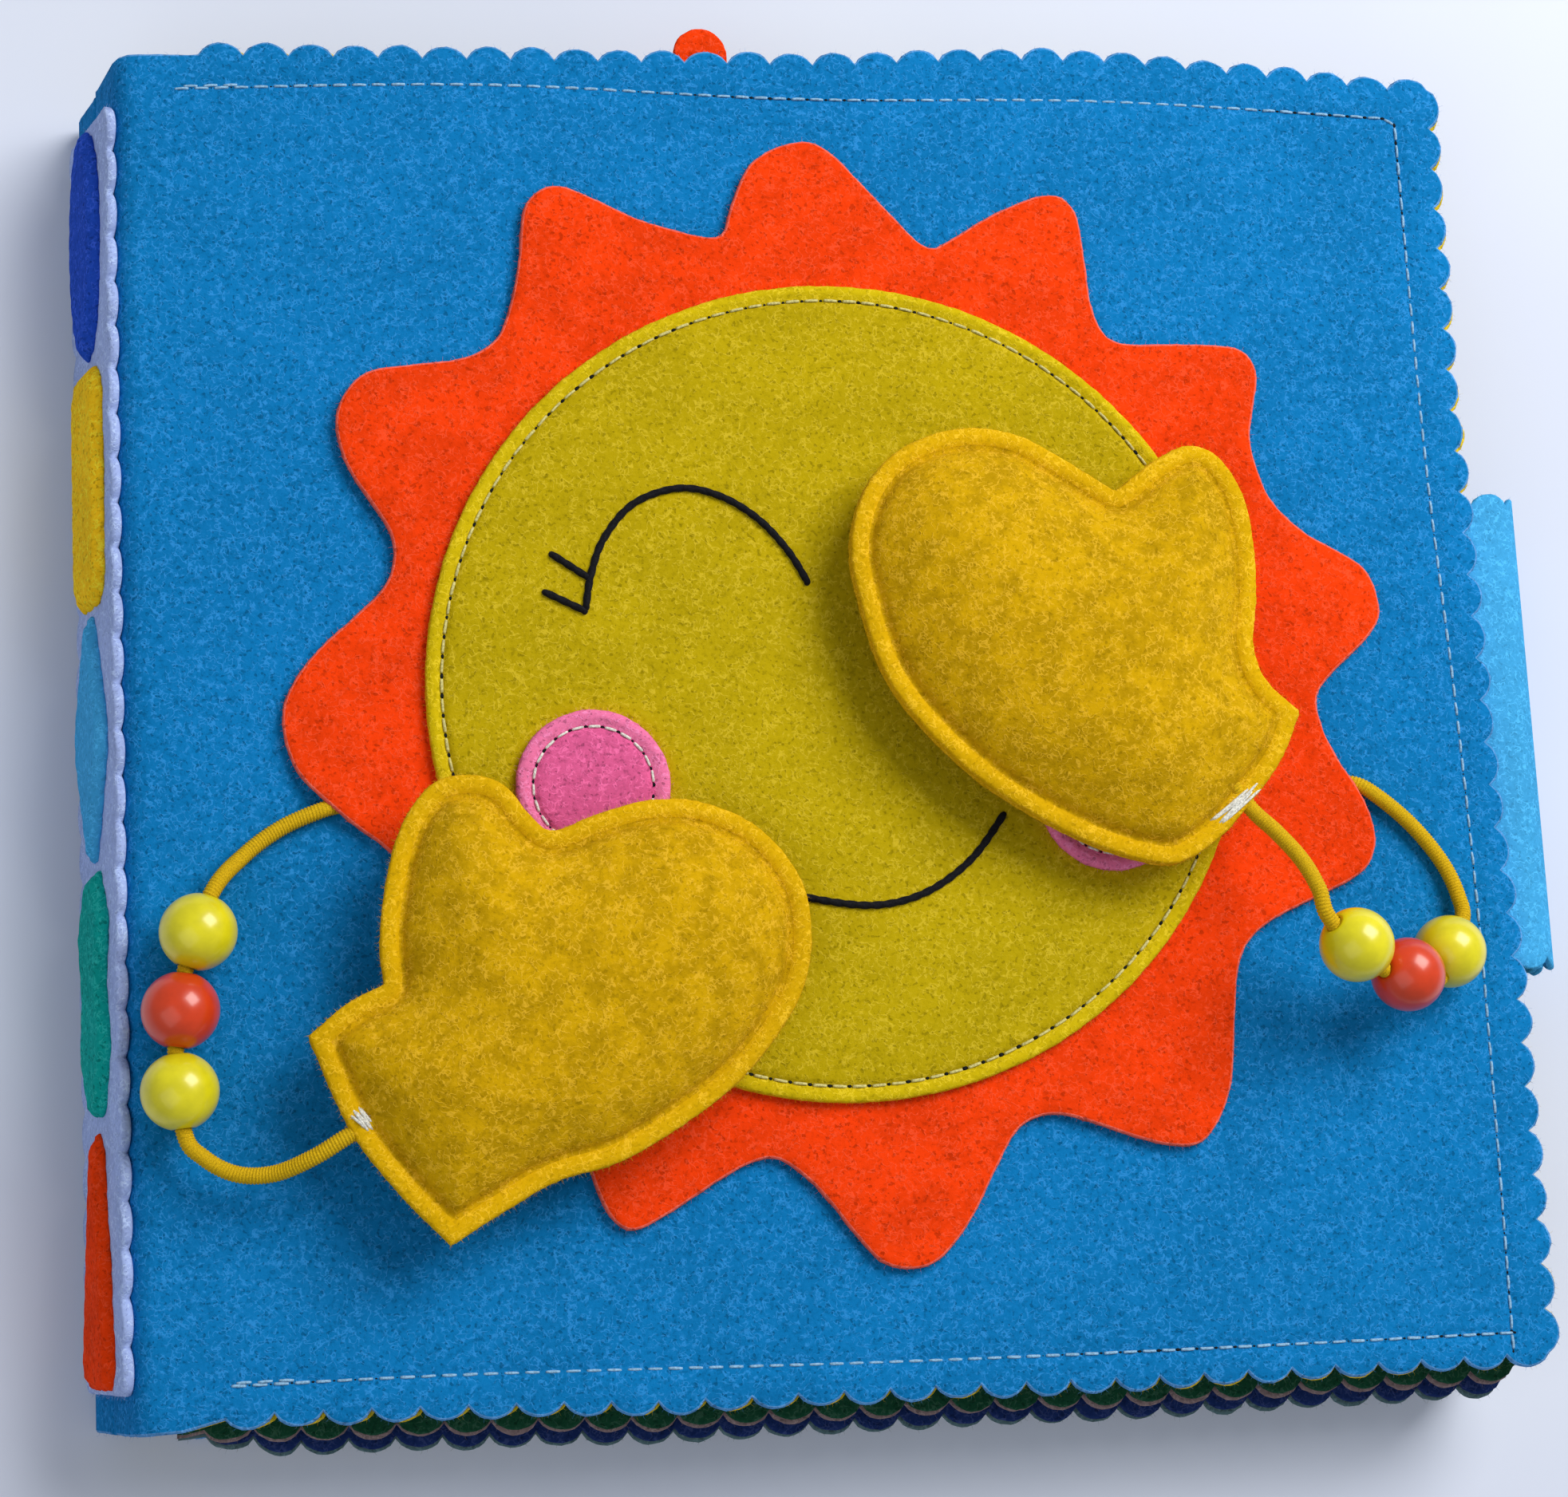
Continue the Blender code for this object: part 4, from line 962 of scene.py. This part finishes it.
def lining_corner(side):
    """Where the spine's lining meets a cover's lining, in x and height."""
    height = sum(layer(f"{side}_cover_lining")) / 2
    ahead = SPINE_LINE.normalized()
    inner = FRONT_FOLD + Vector((-ahead.y, ahead.x)) * SPINE_LINING_GAP
    return inner + ahead * ((height - inner.y) / ahead.y)


def seam_gap(spot):
    """How far a place on the front cover is from its seams."""
    return np.sqrt(((SEAM_SPOTS - tuple(spot)) ** 2).sum(axis=1).min())


def beside_seams(us, vs, loop):
    """Inner points of the front cover: rows along its seams, and a grid that keeps clear."""
    points = []
    for here, there in zip(SEAM_SPOTS[:-1], SEAM_SPOTS[1:]):
        run = there - here
        across = np.array((-run[1], run[0])) / max(np.hypot(*run), 1e-9)
        points += [Vector(here + across * SEAM_GROOVE * share) for share in (-1, -0.5, 0, 0.5, 1)]
    spots = [Vector((u, v)) for u in us for v in vs]
    points += [spot for spot in spots if seam_gap(spot) > SEAM_GROOVE * 1.4]
    gaps, inner = distances(points, loop), is_inside(points, loop)
    least = EDGE_ROUND + GRID_MARGIN
    return [point for point, gap, inside in zip(points, gaps, inner) if inside and gap > least]


def make_cover(side, kind, corner, bend, seed, edge_lift=0.0):
    """One felt of a cover, with its half of the spine beyond the fold."""
    front, sewn = side == "front", side == "front" and kind == "felt"
    body, look = f"{side}_cover", "blue_felt" if kind == "felt" else "lining_felt"
    along = SPINE_LINE if front else -SPINE_LINE
    place = bent(corner, (-1, 0), along, bend)
    angle = Vector((-1, 0)).angle(along)
    spine_half = SPINE_LINE.length / 2 - bend * (2 * math.tan(angle / 2) - angle) - FELT_JOIN
    loop = panel(-spine_half, WIDTH, 0, HEIGHT, random.Random(seed), PLAIN_EDGE + spine_half)
    if front:
        loop = [wandered(point, 1) for point in loop]

    def skin(u, v, gap):
        wave = ripple(u, v, seed, 0.045, 0.00025) * step_up(u, 0.004, 0.02)
        lift = edge_lift * (1 - step_up(gap, SEAM_MARGIN * 0.6, SEAM_MARGIN * 1.3))
        top = FELT / 2 + wave + lift * step_up(u, 0.006, 0.014)
        sunk = groove(seam_gap((u, v)), 0, SEAM_GROOVE / 2, SEAM_SINK) if sewn else 0
        return top - FELT, top - sunk

    us = grid(-spine_half, WIDTH, COVER_GRID, (WIDTH - SEAM_MARGIN,))
    us = [u for u in us if u > FOLD_ROWS[0] or u < -0.007] + FOLD_ROWS
    vs = grid(-0.004, HEIGHT + 0.004, COVER_GRID, (SEAM_MARGIN, HEIGHT - SEAM_MARGIN))
    extra = ()
    if sewn:
        extra, us, vs = beside_seams(us, vs, loop), (), ()
    piece = felt_piece(f"{side}_{kind}", loop, skin, lambda u, v, h: place(-u, v, h), look,
                       us, vs, GRID_MARGIN, extra=extra, cut=kind == "felt",
                       cut_from=-spine_half + FELT, lint=0.6)
    on_spine, on_cover = place(COVER_BLEND, 0, 0), place(-COVER_BLEND, 0, 0)
    if front:
        finish_piece(piece, ("spine", body, on_spine, on_cover), look,
                     f"{body}_{kind}", f"spine_{kind}", sheet="folded")
    else:
        finish_piece(piece, (body, "spine", on_cover, on_spine), look,
                     f"{body}_{kind}", sheet="folded")


make_cover("front", "felt", FRONT_FOLD, COVER_BEND, 11)
make_cover("back", "felt", BACK_FOLD, COVER_BEND * 0.7, 12)
make_cover("front", "lining", lining_corner("front"), LINING_BEND, 13, LINING_LIFT)
make_cover("back", "lining", lining_corner("back"), LINING_BEND, 14, LINING_LIFT)


# ---- Sun ----
def make_rays():
    low, high = layer("sun_rays")
    corner = book(0, 0)
    points = [point - Vector(corner.xy) for point in cad_outline("sun_rays")]
    loop = spread_loop(smooth_line(points, 4, True), 0.0011)
    exits = [Vector(middle) + Vector(arm[0][:2]) for middle, arm in
             ((LEFT_MITTEN_PLACE, LEFT_ARM), (RIGHT_MITTEN_PLACE, RIGHT_ARM))]

    def skin(u, v, gap):
        wave = abs(ripple(u, v, 5.5, 0.030, 0.0004)) * (1 - step_up(gap, 0.004, 0.018))
        near = min((Vector((u, v)) - spot).length for spot in exits)
        wave += RAY_LIFT * math.exp(-(near / RAY_LIFT_REACH) ** 2)
        return low - UNDERLAP + wave, high + wave

    piece = felt_piece("rays", loop, skin, book, "orange_felt", grid(0, WIDTH, 0.005),
                       grid(0, HEIGHT, 0.005), 0.002, bands=(0.0012, 0.0026), cut=True, lint=1.0)
    finish_piece(piece, "front_cover", "orange_felt", "sun_rays")


def make_disc(name, node, centre, radius, ring_gap, puff, look, spacing):
    """A sewn disc: a round rim, a stitched groove and a slightly puffed middle."""
    low, high = layer(node)

    def skin(u, v, gap):
        top = high - groove(gap, ring_gap, 0.0006, 0.00055)
        top += puff * step_up(gap, ring_gap, ring_gap * 5) + ripple(u, v, 7.7, 0.02, 0.00012)
        if gap < ring_gap:
            top += 0.00025 * math.sin(math.pi * gap / ring_gap)
        return low - UNDERLAP, top

    loop = circle(radius, round(2 * math.pi * radius / 0.0010), centre)
    bands = [ring_gap * share for share in (0.45, 0.75, 0.9, 1.0, 1.12, 1.3, 1.6, 2.1)]
    us, vs = (grid(middle - radius, middle + radius, spacing) for middle in centre)
    piece = felt_piece(name, loop, skin, book, look, us, vs, spacing / 2, bands=bands, cut=True,
                       lint=1.0, rim_gap=ring_gap * 1.01)
    finish_piece(piece, "front_cover", look, node)


make_rays()
make_disc("face_disc", "sun_face", FACE_PLACE, FACE_RADIUS, FACE_RING, 0.0002, "face_felt", 0.004)
CHEEKS = [(FACE_PLACE[0] + x * FACE_RADIUS, FACE_PLACE[1] + y * FACE_RADIUS)
          for x, y in CHEEK_PLACE_SHARES]
for node, spot in zip(("cheek_left", "cheek_right"), CHEEKS):
    make_disc(node + "_disc", node, spot, CHEEK_RADIUS, CHEEK_RING, 0.0001, "pink_felt", 0.002)


# ---- Threads ----
def make_hole_shades(name, spots, level, up, chance):
    """Small dark cones at the needle holes in a felt's face: painted shade of the holes, their
    tips just above the face.
    """
    shape = bmesh.new()
    for spot in spots:
        size = HOLE_RADIUS * chance.uniform(0.75, 1.15)
        ring = [shape.verts.new(book(spot.x + point.x, spot.y + point.y, level - up * HOLE_RIM))
                for point in circle(size, HOLE_SIDES)]
        tip = shape.verts.new(book(spot.x, spot.y, level + up * HOLE_TIP))
        base = shape.verts.new(book(spot.x, spot.y, level - up * HOLE_DEPTH))
        for here, there in zip(ring, ring[1:] + ring[:1]):
            shape.faces.new((here, there, tip))
            shape.faces.new((there, here, base))
    return to_object(name + "_hole_shades", shape, "hole_shade")


def stitches(name, route, level, slot, look, body="front_cover", pitch=STITCH_PITCH, up=1,
             holes=True):
    """Machine stitches along a route: short threads that dive into needle holes, which get small
    dark cones of painted shade.

    route is a line of points in the book's x and y; level is the felt's surface there.
    """
    chance = random.Random(name)
    spots = spread([Vector(point[:2]) for point in route], pitch)
    threads = bmesh.new()
    for here, there in zip(spots, spots[1:]):
        run = there - here
        across = Vector((-run.y, run.x)).normalized() * chance.uniform(-0.3, 0.3) * STITCH_RADIUS
        line = []
        for share in STITCH_SHARES:
            spot = here + run * share + across * (2 * share - 1)
            rise = STITCH_RADIUS * (1.9 * math.sin(math.pi * share) - 1.1)
            line.append(book(spot.x, spot.y, level + up * rise))
        radius = STITCH_RADIUS * chance.uniform(0.9, 1.1)
        tube(threads, line, 6, lambda s, a: radius)
    if holes:
        finish_piece(make_hole_shades(name, spots, level, up, chance), body, slot)
    finish_piece(to_object(name, threads, look), body, slot)


def embroider(name, shares, side=1):
    """A line of black stranded thread laid in plies."""
    top = layer("sun_face")[1]
    line = [Vector((FACE_PLACE[0] + side * x * FACE_RADIUS, FACE_PLACE[1] + y * FACE_RADIUS))
            for x, y in shares]
    if len(line) > 2:
        line = smooth_line(line, 12, False)
    route = [book(point.x, point.y, top + THREAD_RISE) for point in spread(line, THREAD_STEP)]
    for end in (route[0], route[-1]):
        end.z -= THREAD_DIVE

    def plied(distance, angle):
        turned = angle - 2 * math.pi * distance / THREAD_TWIST
        return THREAD_RADIUS * (0.80 + 0.20 * abs(math.cos(turned)))

    shape = bmesh.new()
    tube(shape, route, 10, plied)
    piece = to_object(name + "_thread", shape, "black_thread")
    finish_piece(piece, "front_cover", "black_thread", name)


for eye, side in (("eye_left", 1), ("eye_right", -1)):
    embroider(eye, EYE_SHARES, side)
    for number, shares in enumerate(LASH_SHARES, 1):
        embroider(f"{eye}_lash_{number}", shares, side)
embroider("smile", SMILE_SHARES)

stitches("cover_seam", COVER_SEAM_LINE, -SEAM_SINK, "blue_felt", "blue_thread")
stitches("cover_bottom_seam", BOTTOM_SEAM_LINE, -SEAM_SINK, "blue_felt", "blue_thread")
for name, line in (("cover_seam", COVER_SEAM_LINE), ("cover_bottom_seam", BOTTOM_SEAM_LINE[::-1])):
    start = [point + SEAM_START_SHIFT for point in spread(line, STITCH_PITCH)[:5]]
    stitches(name + "_backstitch", start, -SEAM_SINK, "blue_felt", "blue_thread", holes=False)
ring = circle(FACE_RADIUS - FACE_RING, 180, FACE_PLACE)
stitches("face_seam", ring + ring[:1], layer("sun_face")[1] - DISC_SEAM_SINK,
         "face_felt", "cream_thread")
for number, spot in enumerate(CHEEKS, 1):
    ring = circle(CHEEK_RADIUS - CHEEK_RING, 60, spot)
    stitches(f"cheek_seam_{number}", ring + ring[:1], layer("cheek_left")[1] - DISC_SEAM_SINK,
             "pink_felt", "white_thread", pitch=CHEEK_STITCH_PITCH)


# ---- Mittens ----
def sharpened(shares):
    """The outline's points in metres, with its cuff corners kept crisp."""
    points = [Vector(share) * MITTEN_LENGTH for share in shares]
    result = []
    for i, here in enumerate(points):
        before, after = points[i - 1], points[(i + 1) % len(points)]
        if (here - before).angle(after - here) < CUFF_CORNER_ANGLE:
            result.append(here)
        else:
            result += [here.lerp(before, 0.16), here.lerp(before, 0.02),
                       here.lerp(after, 0.02), here.lerp(after, 0.16)]
    return result


def make_bartack(side, mitten):
    """White back-stitches that hold the cord in the cuff."""
    data = mitten.data
    tree = BVHTree.FromPolygons([v.co for v in data.vertices], [p.vertices for p in data.polygons])
    start, end = (Vector(spot) for spot in BARTACKS[side])
    across = Vector((start.y - end.y, end.x - start.x)).normalized()
    chance = random.Random(side)
    shape = bmesh.new()
    for i in range(BARTACK_THREADS):
        offset = across * ((i / (BARTACK_THREADS - 1) - 0.5) * BARTACK_WIDTH)
        lean = across * chance.uniform(-0.0006, 0.0006)
        first, last = chance.uniform(-0.10, 0.22), chance.uniform(0.78, 1.10)
        line = []
        for step in range(9):
            share = step / 8
            spot = start + (end - start) * (first + (last - first) * share)
            spot += offset + lean * (share - 0.5)
            hit = tree.ray_cast(book(spot.x, spot.y, 0.05), Vector((0, 0, -1)))[0]
            rise = STITCH_RADIUS * (2.2 * math.sin(math.pi * share) - 1.0)
            line.append(hit + Vector((0, 0, rise)))
        tube(shape, line, 6, lambda s, a: STITCH_RADIUS)
        shape.normal_update()
        grow_lint(shape, list(shape.verts)[-54:], 0.15, chance, False)
    piece = to_object(f"{side}_mitten_bartack", shape, "white_thread")
    finish_piece(piece, f"{side}_mitten", "mitten_felt")


def make_mitten(side, middle, shares):
    """A stuffed mitten: two felts sewn along a groove, with a flat rim outside it."""
    body = f"{side}_mitten"
    loop = spread_loop(smooth_line(sharpened(shares), 8, True), 0.0009)
    front_low, front_high = layer(body + "_front")
    back_low, back_high = layer(body + "_back")
    rim_plane = (front_low + back_high) / 2
    inner = max(distances([Vector((0, 0))], loop)) - MITTEN_GROOVE_INSET
    us = grid(-0.6 * MITTEN_LENGTH, 0.6 * MITTEN_LENGTH, 0.0026)
    for half, sign, seed, full, steep in MITTEN_HALVES:
        rise = front_high - rim_plane if sign > 0 else rim_plane - back_low

        def skin(u, v, gap):
            across = min(gap / MITTEN_GROOVE_INSET, 1)
            flat = MITTEN_RIM * (0.88 + 0.12 * math.sin(math.pi * across))
            share = min(max(0.0, (gap - MITTEN_GROOVE_INSET) / inner), 1.0)
            crown = (1 - (1 - share) ** full) ** steep
            lumps = ripple(u, v, seed, 0.012, 0.00040) * step_up(gap, 0.004, 0.010)
            lumps += ripple(u, v, seed + 5, 0.0035, 0.00014) * step_up(gap, 0.001, 0.004)
            sunk = groove(gap, MITTEN_GROOVE_INSET, 0.0007, MITTEN_GROOVE_DEPTH)
            height = flat + (rise - MITTEN_RIM) * crown - sunk + lumps
            return (HALF_GAP, height) if sign > 0 else (-height, -HALF_GAP)

        piece = felt_piece(f"{body}_{half}_felt", loop, skin,
                           lambda u, v, h: book(middle[0] + u, middle[1] + v, rim_plane + h),
                           "mitten_felt", us, us, 0.0016, bands=MITTEN_BANDS, cut=True,
                           lint=2.0, nap=0.7, rim_gap=MITTEN_GROOVE_INSET * 0.95)
        nodes = [f"{body}_{half}"] + ([f"{body}_filling"] if sign > 0 else [])
        finish_piece(piece, body, "mitten_felt", *nodes)
        if sign > 0:
            make_bartack(side, piece)


make_mitten("left", LEFT_MITTEN_PLACE, LEFT_MITTEN_SHARES)
make_mitten("right", RIGHT_MITTEN_PLACE, RIGHT_MITTEN_SHARES)


# ---- Leaves ----
def make_leaf(number, looks):
    """Two felts over a wadding sheet, sewn together round their edges."""
    body = f"leaf_{number}"
    low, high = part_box(body + "_back")
    front_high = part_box(body + "_front")[1]
    pivot = Vector(joint_of(body)["pos_m"])
    left, right = pivot.x - LEFT - LEAF_ROOT, high.x - EDGE_INSET - LEFT - LEAF_TRIM
    bottom, top = low.y + EDGE_INSET - BOTTOM, high.y - EDGE_INSET - BOTTOM
    middle = (low.z + front_high.z) / 2 - COVER_Z
    puff = (front_high.z - low.z) / 2 - FELT
    us = grid(left, right, 0.007, (right - SEAM_MARGIN, left + SEAM_MARGIN))
    vs = grid(bottom, top, 0.007, (bottom + SEAM_MARGIN, top - SEAM_MARGIN))
    edge = SEAM_MARGIN - EDGE_INSET
    sewn_left, sewn_right = left + 0.006, right - edge
    corners = ((sewn_left, top - edge), (sewn_right, top - edge),
               (sewn_right, bottom + edge), (sewn_left, bottom + edge))
    for half, sign, look in zip(("front", "back"), (1, -1), looks):
        low_edge = bottom - (LEAF_BACK_OVERHANG if sign < 0 else 0)
        outline = panel(left, right, low_edge, top, random.Random(number * 10 + sign),
                        LEAF_PLAIN_EDGE)
        loop = []
        for x, y in outline:
            taper = 1 - step_up(x, left, left + LEAF_TAPER_REACH)
            drop = bottom * LEAF_TAPER * taper * (1 - step_up(y, 0, HEIGHT / 2))
            loop.append(wandered((x, y - drop), 0))

        def skin(u, v, gap):
            inner = HALF_GAP + puff * step_up(gap, SEAM_MARGIN, SEAM_MARGIN * 2.2)
            outer = inner + FELT
            if sign > 0:
                return middle + inner, middle + outer
            return middle - outer, middle - inner

        piece = felt_piece(f"{body}_{half}_felt", loop, skin, book, look, us, vs, GRID_MARGIN,
                           lint=0.4)
        start, end = (pivot + Vector((x, 0, 0)) for x in (-LEAF_ROOT, LEAF_BLEND))
        nodes = [f"{body}_{half}"] + ([f"{body}_wadding"] if sign > 0 else [])
        finish_piece(piece, ("spine", body, start, end), look, *nodes, sheet="laid")
        stitches(f"{body}_{half}_seam", corners, middle + sign * (FELT + LEAF_SEAM_RISE), look,
                 "lilac_thread", body, up=sign, holes=False)


def make_page_tab():
    low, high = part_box("page_tab")
    half = (high.x - low.x) / 2
    middle, end, root = low.x + half - LEFT, high.y - half - BOTTOM, low.y - BOTTOM
    left, right = middle - half, middle + half
    loop = [Vector((middle + half * math.cos(a), end + half * math.sin(a)))
            for a in (math.pi * i / 24 for i in range(24))]
    loop += straight((left, end), (left, root), 12) + straight((left, root), (right, root), 9)
    loop += straight((right, root), (right, end), 12)
    piece = felt_piece("round_page_tab", loop, lambda u, v, gap: layer("page_tab"), book,
                       "orange_felt", grid(left, right, 0.0012), grid(root, end + half, 0.0012),
                       0.0004)
    finish_piece(piece, "leaf_2", "orange_felt", "page_tab")


for number, looks in enumerate(LEAF_LOOKS, 1):
    make_leaf(number, looks)
make_page_tab()

# ---- Spine strip and shapes ----
SPINE_AHEAD = -SPINE_LINE.normalized()
SPINE_OUTWARD = Vector((-SPINE_AHEAD.y, SPINE_AHEAD.x))


def on_spine(along, up, h):
    """A place on the leaning spine; along the book, up from the back fold, h outwards."""
    x, z = BACK_FOLD + SPINE_AHEAD * up + SPINE_OUTWARD * h
    return Vector((LEFT + x, BOTTOM + along, COVER_Z + z))


def make_spine_strip(low, high, bottom, top, base):
    """The pinked strip; its flat outline runs (along the book, up the spine)."""
    loop = pinked_strip(bottom, top, low, high, 24, random.Random(31))

    def skin(v, u, gap):
        return base, base + STRIP + STRIP_LIFT + ripple(u, v, 2.2, 0.010, 0.0003)

    piece = felt_piece("pinked_spine_strip", loop, skin, on_spine, "lilac_felt",
                       grid(bottom, top, 0.003), grid(low, high, 0.0025), GRID_MARGIN,
                       lint=2.0)
    finish_piece(piece, "spine", "lilac_felt", "spine_strip")


def spine_outline(corners, centre):
    """A generic shape with an edge that its overcast stitches pinch into waves."""
    points = [Vector((centre.x + SHAPE_LENGTH / 2 * along, centre.y + SHAPE_WIDTH / 2 * up))
              for up, along in corners]
    if doubled_area(points) < 0:
        points.reverse()
    eased = []
    for here, there in zip(points, points[1:] + points[:1]):
        eased += [here.lerp(there, 0.12), here.lerp(there, 0.88)]
    loop = spread_loop(smooth_line(eased, 6, True), SHAPE_STEP)
    turn = math.pi * round(len(loop) * SHAPE_STEP / PINCH_PITCH) / len(loop)
    return [point + (moved - point) * 1000 * PINCH_DEPTH * math.sin(turn * i) ** 8
            for i, (point, moved) in enumerate(zip(loop, inset(loop, 0.001)))]


def make_spine():
    low, high = FOLD_RELIEF + STRIP_EDGE + SCALLOP_DEPTH, SPINE_LINE.length - SCALLOP_DEPTH
    bottom, top = SCALLOP_PITCH, HEIGHT - SCALLOP_PITCH
    strip_base = FELT / 2 + 0.0001
    make_spine_strip(low, high, bottom, top, strip_base)
    base = strip_base + STRIP + STRIP_LIFT
    step = (top - bottom) / len(SPINE_SHAPES)

    def skin(v, u, gap):
        return base - UNDERLAP, base + 0.0003 + SHAPE_HEIGHT * step_up(gap, -0.0006, 0.0018)

    for i, (node, look, corners) in enumerate(SPINE_SHAPES):
        centre = Vector((top - (i + 0.5) * step, (low + high) / 2))
        piece = felt_piece(node + "_felt", spine_outline(corners, centre), skin, on_spine, look,
                           grid(centre.x - 0.02, centre.x + 0.02, 0.0022),
                           grid(low, high, 0.0022), 0.0012, bands=(0.0009, 0.0016))
        finish_piece(piece, "spine", look, node)


make_spine()

# ---- Closing tab and lip ----
TAB_LOW, TAB_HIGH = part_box("closure_tab_outer")
TAB_JOINT = Vector(joint_of("closure_tab")["pos_m"])


def tab_skin(u, v, gap):
    return -TAB_FELT / 2, TAB_FELT / 2


def make_tab_felt(name, offset, seed, *nodes):
    """One felt of the closing tab: out from under the cover, round a bend and down to its hem."""
    outer_x = TAB_HIGH.x - LEFT - offset
    corner = Vector((outer_x, TAB_JOINT.z - COVER_Z - offset)) - Vector((1, 1)) * (TAB_FELT / 2)
    bend = outer_x - (TAB_JOINT.x - LEFT) - TAB_FELT
    root = -(corner.x - (WIDTH - SEAM_MARGIN + 0.0004))
    hem = corner.y - (TAB_LOW.z - COVER_Z) - bend * (math.tan(math.pi / 4) * 2 - math.pi / 2)
    low_y, high_y = TAB_LOW.y - BOTTOM, TAB_HIGH.y - BOTTOM
    loop = pinked_strip(root, hem, low_y + SCALLOP_DEPTH, high_y - SCALLOP_DEPTH, TAB_SIDE_STEPS,
                        random.Random(seed))
    piece = felt_piece(name, loop, tab_skin, bent(corner, (1, 0), (0, -1), bend), "sky_felt",
                       grid(root, hem, 0.0011), grid(low_y, high_y, 0.004), 0.0005, lint=0.6)
    start, end = (TAB_JOINT + shift for shift in TAB_BLEND)
    finish_piece(piece, ("front_cover", "closure_tab", start, end), "sky_felt", *nodes,
                 sheet="folded")


def make_lip():
    """The felt lip that stands up from the back cover behind the closing tab."""
    low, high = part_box("closure_lip")
    corner = Vector((high.x - LEFT - TAB_FELT / 2, low.z - COVER_Z + TAB_FELT / 2))
    root, rim = -(corner.x - (low.x - LEFT)), high.z - COVER_Z - corner.y - TAB_GAP
    bottom, top = low.y - BOTTOM, high.y - BOTTOM
    corners = ((root, bottom), (rim, bottom), (rim, top), (root, top), (root, bottom))
    loop = [point for here, there, steps in zip(corners, corners[1:], (24, TAB_SIDE_STEPS) * 2)
            for point in straight(here, there, steps)]
    piece = felt_piece("closing_lip_felt", loop, tab_skin, bent(corner, (1, 0), (0, 1), LIP_BEND),
                       "sky_felt", grid(root, rim, 0.001), grid(bottom, top, 0.004), 0.0005)
    finish_piece(piece, "back_cover", "sky_felt", "closure_lip", sheet="folded")


make_tab_felt("closing_tab_outer_felt", 0.0, 41, "closure_tab_outer", "closure_tab_root")
make_tab_felt("closing_tab_inner_felt", TAB_FELT + TAB_GAP, 42, "closure_tab_lining")
make_lip()

# ---- CAD nodes that stay ----
for node, look in {
    "back_cover_board": "board", "front_cover_board": "board",
    "closure_hook_patch": "fastener", "closure_loop_patch": "fastener",
    "leaf_1_binding": "green_felt", "leaf_2_binding": "navy_felt", "leaf_3_binding": "mint_felt",
}.items():
    data = frame["nodes"][node].data
    data.materials.clear()
    data.materials.append(LOOKS[look])


# ---- Floor and light ----
def make_floor():
    shader = Shader("pale_floor", 0.9)
    shader.shades(shader.noise(6, 3.0, 0.5), 0.3, (0.64, 0.68, 0.80), (0.70, 0.74, 0.85))
    shape = bmesh.new()
    bmesh.ops.create_grid(shape, x_segments=1, y_segments=1, size=30.0,
                          matrix=Matrix.Translation((0, 0, -0.0004)))
    to_object("floor", shape, "pale_floor")


def make_light(name, place, target, size, power, colour=(1.0, 0.99, 0.97)):
    data = bpy.data.lights.new(name, "AREA")
    data.size = size
    data.energy = power
    data.color = colour
    lamp = bpy.data.objects.new(name, data)
    lamp.location = place
    lamp.rotation_euler = (Vector(target) - Vector(place)).to_track_quat("-Z", "Y").to_euler()
    bpy.context.scene.collection.objects.link(lamp)


def make_world():
    """An even soft room that lights the book, behind a slightly darker one for the camera."""
    world = bpy.data.worlds.new("soft_room")
    world.use_nodes = True
    tree = world.node_tree
    room, output = tree.nodes["Background"], tree.nodes["World Output"]
    seen = tree.nodes.new("ShaderNodeBackground")
    for node, colour, strength in ((room, (0.90, 0.94, 1.0), 0.31), (seen, (0.62, 0.67, 0.78), 1)):
        node.inputs["Color"].default_value = (*colour, 1)
        node.inputs["Strength"].default_value = strength
    ray = tree.nodes.new("ShaderNodeLightPath")
    choice = tree.nodes.new("ShaderNodeMixShader")
    tree.links.new(ray.outputs["Is Camera Ray"], choice.inputs[0])
    tree.links.new(room.outputs[0], choice.inputs[1])
    tree.links.new(seen.outputs[0], choice.inputs[2])
    tree.links.new(choice.outputs[0], output.inputs["Surface"])
    bpy.context.scene.world = world


make_floor()
make_light("key", (0.50, 0.46, 0.75), (0.02, 0, 0), size=0.60, power=10.6)
make_light("fill", (-0.7, -0.5, 1.1), (0, 0, 0), size=1.2, power=3.8, colour=(0.92, 0.96, 1.0))
make_world()
bpy.context.scene.view_settings.view_transform = "Standard"
